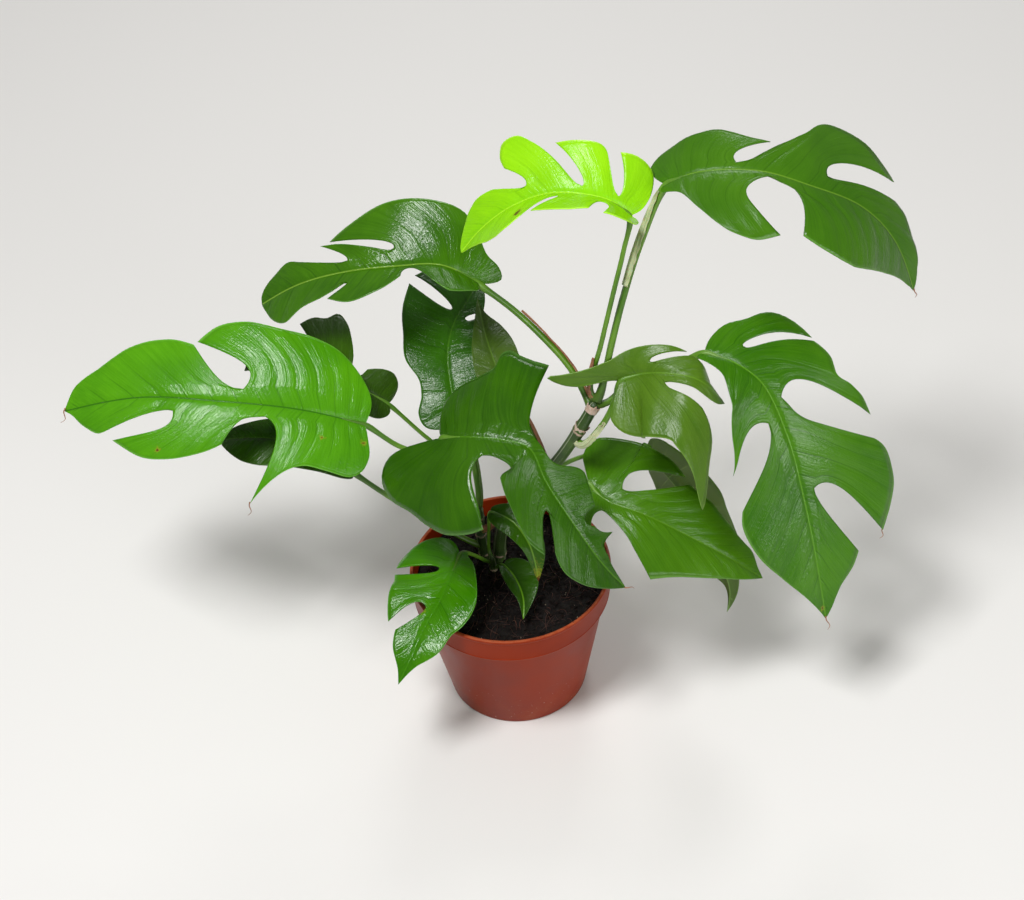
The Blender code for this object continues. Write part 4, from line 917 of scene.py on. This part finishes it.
def make_leaf(name):
    """A leaf blade as a closed skin: its relief above, and a rib and thinner margin below."""
    blade = BLADES[name]
    blade_line = BladeFrame(blade)
    grids = []
    for hand, side in ((-1, blade["left"]), (1, blade["right"])):
        waves = [(0.7, RNG.uniform(0.7, 1.2), RNG.uniform(0, math.tau)),
                 (0.4, RNG.uniform(1.8, 2.6), RNG.uniform(0, math.tau))]
        for flat, vein, rows in half_blade(side, blade_line.length):
            across = hand * rows
            points, face = blade_line.place(flat, hand)
            relief = blade_relief(flat, vein, across, RIPPLES.get(name, RIPPLE), waves)
            points = points + relief[..., None] * face
            depth = blade_depth(flat, vein, rows, blade_line.length)
            grids.append((points, points - depth[..., None] * face,
                          dict(vein=vein, across=across, out=flat[..., 1]), hand > 0))
    points, quads, finish_of, fields = closed_sheet(grids)
    put_mesh(f"leaf_{name}", points, quads, [leaf_skin(name), leaf_back(name)], finish_of, fields,
             [f"blade_{name}"])


# ------------------------------------------------------------------ stalks, canes and sheaths
STALK_SIDES = 20
STALK_STEPS = 90
RIB_RUN = 14.0             # how far a stalk runs on below its blade
CANE_SIDES = 40
CANE_STEPS = 220
CANE_LINES = {name: smooth_path(points, CANE_STEPS) for name, (_, points) in STEMS.items()}


def cane_foot(start):
    """The point inside the nearest cane that a stalk springs from, a little below its start."""
    lines = np.concatenate(list(CANE_LINES.values()))
    return lines[np.argmin(np.linalg.norm(lines - (start - [0.0, 0.0, 4.0]), axis=1))]


def stalk_line(name, count):
    """The middle line of a stalk, from inside its cane to close under the foot of its midrib."""
    radius, points = PETIOLES[name]
    blade_line = BladeFrame(BLADES[name])
    points = [cane_foot(np.array(points[0])), *points]
    run = RIB_RUN * min(1.0, blade_line.length / 80)
    held = np.array([0.0, 0.5, 1.0]) * run
    sink = np.array([0.75, 0.55, 0.4])[:, None] * radius
    on = blade_line.read(blade_line.line, held) - sink * blade_line.read(blade_line.up, held)
    return smooth_path([*points, *on], count), blade_line.read(blade_line.up, np.array([run]))[0]


def make_stalk(name, skin):
    """A leaf stalk: wide clasping foot, shallow channel on top, a swollen joint below the blade."""
    radius = PETIOLES[name][0]
    path, top = stalk_line(name, STALK_STEPS)
    travelled = np.concatenate([[0.0], np.cumsum(np.linalg.norm(np.diff(path, axis=0), axis=1))])
    joint = 1 - RIB_RUN * 1.25 / travelled[-1]

    def reach(turn, share):
        foot = 0.35 * np.exp(-(share / 0.06) ** 2)
        swell = 0.22 * np.exp(-((share - joint) / (5.0 / travelled[-1])) ** 2)
        taper = np.clip((1 - share) * travelled[-1] / RIB_RUN, 0.12, 1.0) ** 0.6
        channel = 0.26 * np.exp(-(((turn + math.pi) % math.tau - math.pi) / 0.45) ** 2)
        channel = channel * np.clip(share / 0.25, 0, 1) * np.clip((joint - share) / 0.1 + 0.4, 0, 1)
        return radius * (1.0 - 0.12 * share + foot + swell) * taper * (1 - channel)

    grid, turn, way = carried_ring(path, top, reach, STALK_SIDES)
    fields = dict(turn=np.abs(((turn + math.pi) % math.tau) - math.pi), way=way)
    points, quads, fields = join_grids([(grid, fields, True)])
    put_mesh(f"stalk_{name}", points, quads, [skin], fields=fields,
             replaces=[f"petiole_{name}"])


NODE_PLACES = {"stem_main": (0.13, 0.36, 0.6, 0.86), "stem_left": (0.35, 0.62, 0.85),
               "stem_short": (0.6,)}


def make_cane(name, skin):
    """A stem: swollen at each node with a raised ring and blunt keels; each node's ring is also
    stored as a field.
    """
    radius, path = STEMS[name][0], CANE_LINES[name]
    nodes = np.array(NODE_PLACES[name])
    length = np.linalg.norm(np.diff(path, axis=0), axis=1).sum()

    def near(share, width):
        gap = (share[..., None] - nodes) * length / width
        return np.exp(-gap ** 2).max(axis=-1)

    def reach(turn, share):
        ring = near(share, 1.1)
        swell = near(share, 6.0)
        keel = 0.045 * np.cos(3 * turn)
        crown = np.clip((1 - share) * length / 2.5, 0.05, 1.0) ** 0.5
        return radius * (1 - 0.12 * share + 0.09 * swell + 0.10 * ring + keel) * crown

    grid, turn, way = carried_ring(path, np.array([0.0, -1.0, 0.2]), reach, CANE_SIDES)
    fields = dict(turn=np.broadcast_to(turn, grid.shape[:2]), way=way, ring=near(way, 1.3))
    points, quads, fields = join_grids([(grid, fields, True)])
    put_mesh(name.replace("stem", "cane"), points, quads, [skin], fields=fields,
             replaces=[name])


HUSK_THICKNESS = 0.28


def make_husk(name, skins):
    """A sheath flap round part of a stalk, with a curled, torn edge.

    A point is the stalk's middle line plus a reach turned round it.  The reach grows towards the
    flap's two edges, and the turn it covers narrows towards the tip by the square of the way and
    is frayed by a few seeded waves.
    """
    start, end, towards, wrap, colour = SHEATHS[name]
    radius = PETIOLES[name][0]
    path, _ = stalk_line(name, 241)
    line = path[round(240 * start):round(240 * min(end + 0.03, 0.9)) + 1]
    line = smooth_path(line[:: max(1, len(line) // 12)], 60)
    forward = unit(np.gradient(line, axis=0))
    side = np.array(towards, dtype=float)
    out = unit(side - (forward @ side)[:, None] * forward)
    across = np.cross(forward, out)
    way = np.linspace(0.0, 1.0, len(line))[:, None]
    turn = np.linspace(-0.5, 0.5, 21)[None, :]
    fray = sum(RNG.uniform(0.02, 0.05) * np.sin(RNG.uniform(9, 60) * way + RNG.uniform(0, 6))
               for _ in range(5))
    angle = wrap * (1 - 0.8 * way**2 + fray) * turn
    curl = 0.8 * (2 * np.abs(turn)) ** 3 * (0.4 + way) + 0.15 * np.sin(14 * turn + 5 * way)
    reach = radius * 1.06 + 0.3 + curl
    points = (line[:, None] + reach[..., None] * (np.cos(angle)[..., None] * out[:, None]
                                                  + np.sin(angle)[..., None] * across[:, None]))
    face = unit(np.cross(np.gradient(points, axis=0), np.gradient(points, axis=1)))
    points, quads, _, fields = closed_sheet(
        [(points, points + HUSK_THICKNESS * face, dict(turn=turn, way=way), True)])
    put_mesh(f"husk_{name}", points, quads, [skins[colour]], fields=fields,
             replaces=[f"sheath_{name}"])


# Fine tails that some tips end in: blade, place on its flat outline, hand, and the tail's run.
TAILS = {
    "far_left_tip": ("far_left", None, -1, (-3.5, -2.0, -7.0)),
    "far_left_lobe": ("far_left", (62, 58), -1, (-1.5, -3.5, -5.0)),
    "far_right_tip": ("far_right", None, 1, (0.5, -3.0, -6.0)),
    "far_right_lobe": ("far_right", (147, 44), -1, (-1.5, -2.0, -5.0)),
    "centre_front_tip": ("centre_front", None, 1, (4.5, 0.5, -1.5)),
    "upper_right_tip": ("upper_right", None, 1, (0.5, -0.5, -4.5)),
}


def make_tail(name, skin):
    """A dried tail at a tip: a tapering ring carried along a short curl."""
    leaf, flat, hand, run = TAILS[name]
    blade_line = BladeFrame(BLADES[leaf])
    start, _ = blade_line.place(np.array(flat or (blade_line.length, 0.0), dtype=float), hand)
    run = np.array(run)
    bow = 0.25 * np.linalg.norm(run) * unit(np.cross(run, [0.3, 1.0, 0.2]))
    path = smooth_path([start - 0.25 * run, start + 0.1 * run, start + 0.6 * run + bow,
                        start + run], 24)
    grid, turn, way = carried_ring(path, np.array([0.0, 1.0, 0.0]),
                                   lambda turn, share: 0.4 * (1 - 0.75 * share) + 0 * turn, 8)
    points, quads, fields = join_grids([(grid, dict(turn=turn, way=way), True)])
    put_mesh(f"tail_{name}", points, quads, [skin], fields=fields)


# Papery rings that fallen sheaths leave on the main cane: share of the way up, height in mm.
SCARS = ((0.87, 3.4), (0.965, 5.0))
SCAR_THICKNESS = 0.22


def make_scar(number, skin):
    """A torn paper cuff round the main cane: its edges wave with the turn by seeded sines."""
    place, height = SCARS[number]
    line = CANE_LINES["stem_main"]
    station = round((CANE_STEPS - 1) * place)
    forward = unit(np.gradient(line, axis=0))[station]
    centre = line[station]
    out = unit(np.cross(forward, [1.0, 0.0, 0.2]))
    side = np.cross(forward, out)
    turn = np.append(np.linspace(0, math.tau, 72, endpoint=False), 0.0)[:, None]
    way = np.linspace(0.0, 1.0, 9)[None, :]
    torn = sum(RNG.uniform(0.08, 0.2) * np.sin(rate * turn + RNG.uniform(0, 6))
               for rate in (1, 2, 5, 9, 14))
    reach = 3.75 + 0.1 * np.sin(7 * turn) + 0.6 * way**2 * (1 + torn)
    rise = height * (way - 0.3) * (1 + 0.8 * torn * way)
    around = np.cos(turn)[..., None] * out + np.sin(turn)[..., None] * side
    points = centre + rise[..., None] * forward + reach[..., None] * around
    points, quads, _, fields = closed_sheet(
        [(points, points - SCAR_THICKNESS * around, dict(turn=np.sin(turn), way=way), False)])
    put_mesh(f"scar_{number}", points, quads, [skin], fields=fields)


# ------------------------------------------------------------------ pot and soil
POT_SIDES = 180
SOIL_SIDES = 240
SOIL_RINGS = 90


def wall_radius(height):
    """Outer radius of the tapering wall below the band."""
    top = RIM_RADIUS - 1.0 - BAND_STEP
    return BASE_RADIUS + (top - BASE_RADIUS) * height / BAND_FOOT


def rounded(corners, steps=5):
    """A closed profile, given as (radius, height, rounding) at each corner.

    Each corner becomes a quadratic curve between points on its two edges.
    """
    corners = np.array(corners, dtype=float)
    corners, radii = corners[:, :2], corners[:, 2:]
    back, on = np.roll(corners, 1, axis=0) - corners, np.roll(corners, -1, axis=0) - corners
    cut_back = np.minimum(radii, 0.45 * np.linalg.norm(back, axis=1, keepdims=True))
    cut_on = np.minimum(radii, 0.45 * np.linalg.norm(on, axis=1, keepdims=True))
    first = (corners + cut_back * unit(back))[:, None]
    last = (corners + cut_on * unit(on))[:, None]
    t = np.linspace(0.0, 1.0, steps)[None, :, None]
    curve = (1 - t)**2 * first + 2 * t * (1 - t) * corners[:, None] + t**2 * last
    return curve.reshape(-1, 2)


def turned_grid(profile, sides):
    """A profile of (radius, height) turned round the Z axis as a grid of points."""
    turn = np.append(np.linspace(0.0, math.tau, sides, endpoint=False), 0.0)
    radius, height = profile[:, 0][:, None], profile[:, 1][:, None]
    return np.stack([radius * np.cos(turn), radius * np.sin(turn),
                     np.broadcast_to(height, (len(profile), sides + 1))], axis=-1)


def cut_holes(piece, cutter):
    """Take the cutter's shape out of a piece, and remove the cutter."""
    cut = piece.modifiers.new("holes", "BOOLEAN")
    cut.operation = "DIFFERENCE"
    cut.solver = "EXACT"
    cut.object = cutter
    shaped = bpy.data.meshes.new_from_object(
        piece.evaluated_get(bpy.context.evaluated_depsgraph_get()))
    piece.modifiers.remove(cut)
    piece.data = shaped
    bpy.data.objects.remove(cutter)


def make_pot(skin):
    """Thin moulded pot: foot ring, raised ring of drain holes, tapering wall, band, rolled rim."""
    slope_end = BASE_RADIUS - FOOT_WIDTH
    lip = POT_HEIGHT - LIP_HEIGHT
    profile = rounded([
        (HUB_RADIUS, 0, 0.6), (HUB_RADIUS + FOOT_SLOPE, FOOT_LIFT, 0.6),
        (slope_end - FOOT_SLOPE, FOOT_LIFT, 0.6), (slope_end, 0, 0.6), (BASE_RADIUS, 0, 1.2),
        (wall_radius(BAND_FOOT - 0.5), BAND_FOOT - 0.5, 0.3),
        (RIM_RADIUS - BAND_INSET, BAND_FOOT + 0.2, 0.25), (RIM_RADIUS - 0.9, BAND_FOOT + 1.3, 0.3),
        (RIM_RADIUS - 1.2, BAND_FOOT + 1.9, 0.25), (RIM_RADIUS - 0.6, lip - 0.6, 0.4),
        (RIM_RADIUS, lip, 0.7), (RIM_RADIUS, POT_HEIGHT, 0.75),
        (RIM_RADIUS - LIP_WIDTH, POT_HEIGHT, 0.9),
        (RIM_RADIUS - BAND_INSET - WALL, BAND_FOOT + 1.6, 1.0),
        (wall_radius(BAND_FOOT) - WALL, BAND_FOOT - 0.2, 1.0),
        (wall_radius(FLOOR) - WALL, FOOT_LIFT + FLOOR, 1.6)])
    rings = profile[:, 0] > 0
    profile = np.concatenate([[(0.0, 0.0)], profile[2:][rings[2:]], [(0.0, FOOT_LIFT + FLOOR)]])
    points, quads, _ = join_grids([(turned_grid(profile, POT_SIDES), {}, True)])
    pot = put_mesh("pot_shell", points, quads, [skin], replaces=["pot"])
    cutters = []
    hole = np.array([(0, -2), (1, -2), (1, 8), (0, 8)], dtype=float)
    for index in range(DRAIN_HOLES):
        angle = math.tau * index / DRAIN_HOLES
        grid = turned_grid(hole * [DRAIN_RADIUS, 1.0], 32)
        grid = grid + [DRAIN_CIRCLE * math.cos(angle), DRAIN_CIRCLE * math.sin(angle), 0.0]
        cutters.append((grid, {}, True))
    points, quads, _ = join_grids(cutters)
    cutter = put_mesh("drain_cutter", points, quads, [])
    cut_holes(pot, cutter)
    pot.data.shade_smooth()
    pot.data.set_sharp_from_angle(angle=math.radians(40))


SOIL_WAVES = [(size, math.tau / length * math.cos(way), math.tau / length * math.sin(way), start)
              for size, length, way, start in zip(
                  (0.5, 0.45, 0.4, 0.35, 0.3, 0.22, 0.2, 0.16, 0.14),
                  (47.0, 31.0, 22.0, 15.0, 11.0, 7.3, 5.2, 3.9, 2.9),
                  RNG.uniform(0, math.tau, 9), RNG.uniform(0, math.tau, 9))]


def soil_height(x, y):
    """Height of the soil's top: two slow swells, and finer waves each in its own direction."""
    swell = np.sin(0.11 * x + 1.0) * np.cos(0.09 * y) + 0.5 * np.sin(0.21 * (x - y))
    fade = 1 - (np.hypot(x, y) / SOIL_RADIUS) ** 4
    waves = sum(size * np.sin(across * x + along * y + start)
                for size, across, along, start in SOIL_WAVES)
    return SOIL_TOP + 2.2 * (0.45 * swell + 0.35) * fade + 0.7 * waves


def make_soil(skin):
    """The plug of peat: an uneven top that a closed, tapering side and a flat foot carry."""
    radius = np.linspace(0.0, SOIL_RADIUS, SOIL_RINGS)[:, None]
    turn = np.append(np.linspace(0.0, math.tau, SOIL_SIDES, endpoint=False), 0.0)[None, :]
    x, y = radius * np.cos(turn), radius * np.sin(turn)
    top = np.stack([x, y, soil_height(x, y)], axis=-1)
    foot_radius = wall_radius(FLOOR) - WALL
    side = np.array([(SOIL_RADIUS - 0.2, SOIL_TOP - 3.0), (SOIL_RADIUS - 0.6, BAND_FOOT + 2.0),
                     (wall_radius(BAND_FOOT) - WALL - 0.8, BAND_FOOT - 0.8),
                     (foot_radius - 0.6, SOIL_FOOT + 1.7), (foot_radius - 2.0, SOIL_FOOT),
                     (0.0, SOIL_FOOT)])
    grid = np.concatenate([top, turned_grid(side, SOIL_SIDES)])
    points, quads, _ = join_grids([(grid, {}, False)])
    put_mesh("soil_bed", points, quads, [skin], replaces=["soil"])


def lump():
    """The twelve corners and twenty faces of an icosahedron of radius one."""
    g = (1 + math.sqrt(5)) / 2
    corners = np.array([(-1, g, 0), (1, g, 0), (-1, -g, 0), (1, -g, 0), (0, -1, g), (0, 1, g),
                        (0, -1, -g), (0, 1, -g), (g, 0, -1), (g, 0, 1), (-g, 0, -1), (-g, 0, 1)])
    faces = np.array([(0, 11, 5), (0, 5, 1), (0, 1, 7), (0, 7, 10), (0, 10, 11), (1, 5, 9),
                      (5, 11, 4), (11, 10, 2), (10, 7, 6), (7, 1, 8), (3, 9, 4), (3, 4, 2),
                      (3, 2, 6), (3, 6, 8), (3, 8, 9), (4, 9, 5), (2, 4, 11), (6, 2, 10),
                      (8, 6, 7), (9, 8, 1)])
    return unit(corners), faces


def scatter_lumps(name, centres, sizes, squash, skin):
    """A crumb at each centre: a lump whose corners are pushed in and out, squashed and turned."""
    corners, faces = lump()
    count = len(centres)
    shape = corners[None] * RNG.uniform(0.75, 1.25, (count, 12, 1)) * sizes[:, None, None]
    shape = shape * RNG.uniform(squash, 1.0, (count, 1, 3))
    axes = RNG.normal(size=(count, 3, 3))
    turned, _ = np.linalg.qr(axes)
    turned = turned * np.sign(np.linalg.det(turned))[:, None, None]
    points = np.einsum("nij,nkj->nki", turned, shape) + centres[:, None]
    corner = faces[None] + 12 * np.arange(count)[:, None, None]
    quads = corner.reshape(-1, 3)[:, [0, 1, 2, 2]]
    put_mesh(name, points.reshape(-1, 3), quads, [skin])


def strewn(reach, most, count):
    """Seeded places spread evenly over a disc, up to a share of the area of the one stated."""
    radius = reach * np.sqrt(RNG.uniform(0.0, most, count))
    turn = RNG.uniform(0, math.tau, count)
    return radius * np.cos(turn), radius * np.sin(turn)


CRUMBS = 1900
RIM_CRUMBS = 70
SPECKS = 90
FIBRES = 260


def make_crumbs(peat, pale):
    """Crumbs of peat over the soil, a few pale specks, and crumbs that lie on the pot's rim."""
    x, y = strewn(SOIL_RADIUS, 0.985, CRUMBS)
    sizes = 0.45 + 1.5 * RNG.uniform(0, 1, CRUMBS) ** 3
    centres = np.stack([x, y, soil_height(x, y) + 0.15 * sizes], axis=-1)
    turn = RNG.uniform(0, math.tau, RIM_CRUMBS)
    rim = RIM_RADIUS - RNG.uniform(0.5, 1.7, RIM_CRUMBS)
    on_rim = np.stack([rim * np.cos(turn), rim * np.sin(turn),
                       np.full(RIM_CRUMBS, POT_HEIGHT + 0.05)], axis=-1)
    sizes = np.concatenate([sizes, RNG.uniform(0.12, 0.35, RIM_CRUMBS)])
    scatter_lumps("soil_crumbs", np.concatenate([centres, on_rim]), sizes, 0.5, peat)
    x, y = strewn(SOIL_RADIUS - 3, 1.0, SPECKS)
    centres = np.stack([x, y, soil_height(x, y) + 0.5], axis=-1)
    scatter_lumps("soil_specks", centres, RNG.uniform(0.25, 0.6, SPECKS), 0.3, pale)


def make_fibres(skin):
    """Thin root and coir fibres that lie on the soil: arcs that bow up and sideways."""
    count, steps, sides = FIBRES, 9, 4
    start_x, start_y = strewn(SOIL_RADIUS - 4, 1.0, count)
    way = RNG.uniform(0, math.tau, count)
    length = RNG.uniform(3.0, 15.0, count)
    bow = RNG.uniform(-0.45, 0.45, count)
    s = np.linspace(-0.5, 0.5, steps)[None, :]
    heading = way[:, None] + bow[:, None] * 2 * s
    x = start_x[:, None] + length[:, None] * s * np.cos(heading)
    y = start_y[:, None] + length[:, None] * s * np.sin(heading)
    shrink = np.minimum(1.0, (SOIL_RADIUS - 1.5) / np.maximum(np.hypot(x, y), 1e-6))
    x, y = x * shrink, y * shrink
    lift = RNG.uniform(0.2, 1.8, count)[:, None] * (1 - (2 * s) ** 2) + 0.25
    path = np.stack([x, y, soil_height(x, y) + lift], axis=-1)
    forward = unit(np.gradient(path, axis=1))
    side = unit(np.cross(forward, [0.0, 0.0, 1.0]))
    up = np.cross(side, forward)
    around = np.append(np.linspace(0, math.tau, sides, endpoint=False), 0.0)
    reach = RNG.uniform(0.07, 0.17, count)[:, None, None, None] * (1 - 0.6 * (2 * np.abs(s)) ** 3)[
        ..., None, None]
    ring = path[:, :, None] + reach * (np.cos(around)[:, None] * side[:, :, None]
                                       + np.sin(around)[:, None] * up[:, :, None])
    ends = [np.repeat(path[:, i][:, None, None], sides + 1, axis=2) for i in (0, -1)]
    ring = np.concatenate([ends[0], ring, ends[1]], axis=1)
    points, quads, _ = join_grids([(fibre, {}, False) for fibre in ring])
    put_mesh("soil_fibres", points, quads, [skin])


# ------------------------------------------------------------------ floor, lights and camera
FLOOR_REACH = 3.0          # metres, as are the places and sizes of the lamps and the camera
WORLD_STRENGTH = 0.24
# A lamp's name, place, the point it looks at, size and power in watts.
LAMPS = (("key", (-0.45, -0.5, 1.8), (0, 0, 0.2), 0.45, 27.0),
         ("side", (1.05, -1.25, 0.62), (0.1, 0, 0.2), 0.6, 9.0),
         ("back", (0.3, 1.5, 1.5), (0, 0, 0.25), 0.6, 8.0))


def make_stage():
    """A pale floor, an even pale world, and soft lamps at the upper left, the side and the back."""
    data = bpy.data.meshes.new("floor")
    data.from_pydata([(-FLOOR_REACH, -FLOOR_REACH, 0), (FLOOR_REACH, -FLOOR_REACH, 0),
                      (FLOOR_REACH, FLOOR_REACH, 0), (-FLOOR_REACH, FLOOR_REACH, 0)],
                     [], [(0, 1, 2, 3)])
    material, _, shader = new_finish("floor paper", Roughness=0.8)
    shader["Base Color"].default_value = (0.80, 0.79, 0.77, 1.0)
    data.materials.append(material)
    floor = bpy.data.objects.new("floor", data)
    bpy.context.scene.collection.objects.link(floor)
    world = bpy.context.scene.world or bpy.data.worlds.new("studio")
    bpy.context.scene.world = world
    world.use_nodes = True
    sky = world.node_tree.nodes["Background"].inputs
    sky["Color"].default_value = (1.0, 0.98, 0.95, 1.0)
    sky["Strength"].default_value = WORLD_STRENGTH
    for name, place, target, size, power in LAMPS:
        lamp = bpy.data.lights.new(name, "AREA")
        lamp.size = size
        lamp.energy = power
        item = bpy.data.objects.new(name, lamp)
        bpy.context.scene.collection.objects.link(item)
        item.location = place
        away = unit(np.array(place, dtype=float) - np.array(target, dtype=float))
        item.rotation_euler = (math.acos(away[2]), 0.0, math.atan2(away[1], away[0]) + math.pi / 2)


CAMERA_PLACE = (0.0, -0.9212, 1.0808)
CAMERA_FORWARD = (0.00508, 0.71884, -0.69516)
CAMERA_ROLL = math.radians(-4.5)
CAMERA_LENS = 79.655


def make_camera():
    """The camera: forward and roll as stated; right and up follow from them."""
    forward = unit(np.array(CAMERA_FORWARD))
    right = unit(np.cross(forward, [0.0, 0.0, 1.0]))
    up = np.cross(right, forward)
    turned_right = right * math.cos(CAMERA_ROLL) + up * math.sin(CAMERA_ROLL)
    turned_up = up * math.cos(CAMERA_ROLL) - right * math.sin(CAMERA_ROLL)
    data = bpy.data.cameras.new("camera")
    data.lens = CAMERA_LENS
    camera = bpy.data.objects.new("camera", data)
    bpy.context.scene.collection.objects.link(camera)
    matrix = np.eye(4)
    matrix[:3, 0], matrix[:3, 1], matrix[:3, 2] = turned_right, turned_up, -forward
    matrix[:3, 3] = CAMERA_PLACE
    camera.matrix_world = Matrix(matrix.tolist())
    bpy.context.scene.camera = camera


# ------------------------------------------------------------------ the whole plant
bpy.context.scene.view_settings.view_transform = "Standard"
make_pot(pot_plastic())
make_soil(peat_soil("peat", (0.003, 0.0015, 0.001), (0.018, 0.007, 0.004)))
make_crumbs(peat_soil("peat crumbs", (0.005, 0.0025, 0.002), (0.035, 0.013, 0.007)),
            peat_soil("pale specks", (0.30, 0.24, 0.17), (0.55, 0.48, 0.38)))
make_fibres(papery_skin("fibre", (0.02, 0.006, 0.004), (0.11, 0.035, 0.018), 0.0))
cane = cane_skin()
for stem in STEMS:
    make_cane(stem, cane)
stalk = stalk_skin()
for leaf in BLADES:
    make_stalk(leaf, stalk)
    make_leaf(leaf)
HUSK_SKINS = {
    "sheath_husk": papery_skin("husk", (0.16, 0.045, 0.015), (0.50, 0.24, 0.13), 0.1),
    "sheath_pale": papery_skin("pale husk", (0.30, 0.36, 0.14), (0.62, 0.66, 0.42), 0.15),
    "sheath_green": papery_skin("green husk", (0.05, 0.13, 0.02), (0.16, 0.28, 0.06), 0.1),
}
for leaf in SHEATHS:
    make_husk(leaf, HUSK_SKINS)
for tail in TAILS:
    make_tail(tail, HUSK_SKINS["sheath_husk"])
paper = papery_skin("scar paper", (0.36, 0.20, 0.13), (0.72, 0.58, 0.48), 0.1)
for scar in range(len(SCARS)):
    make_scar(scar, paper)
make_stage()
make_camera()
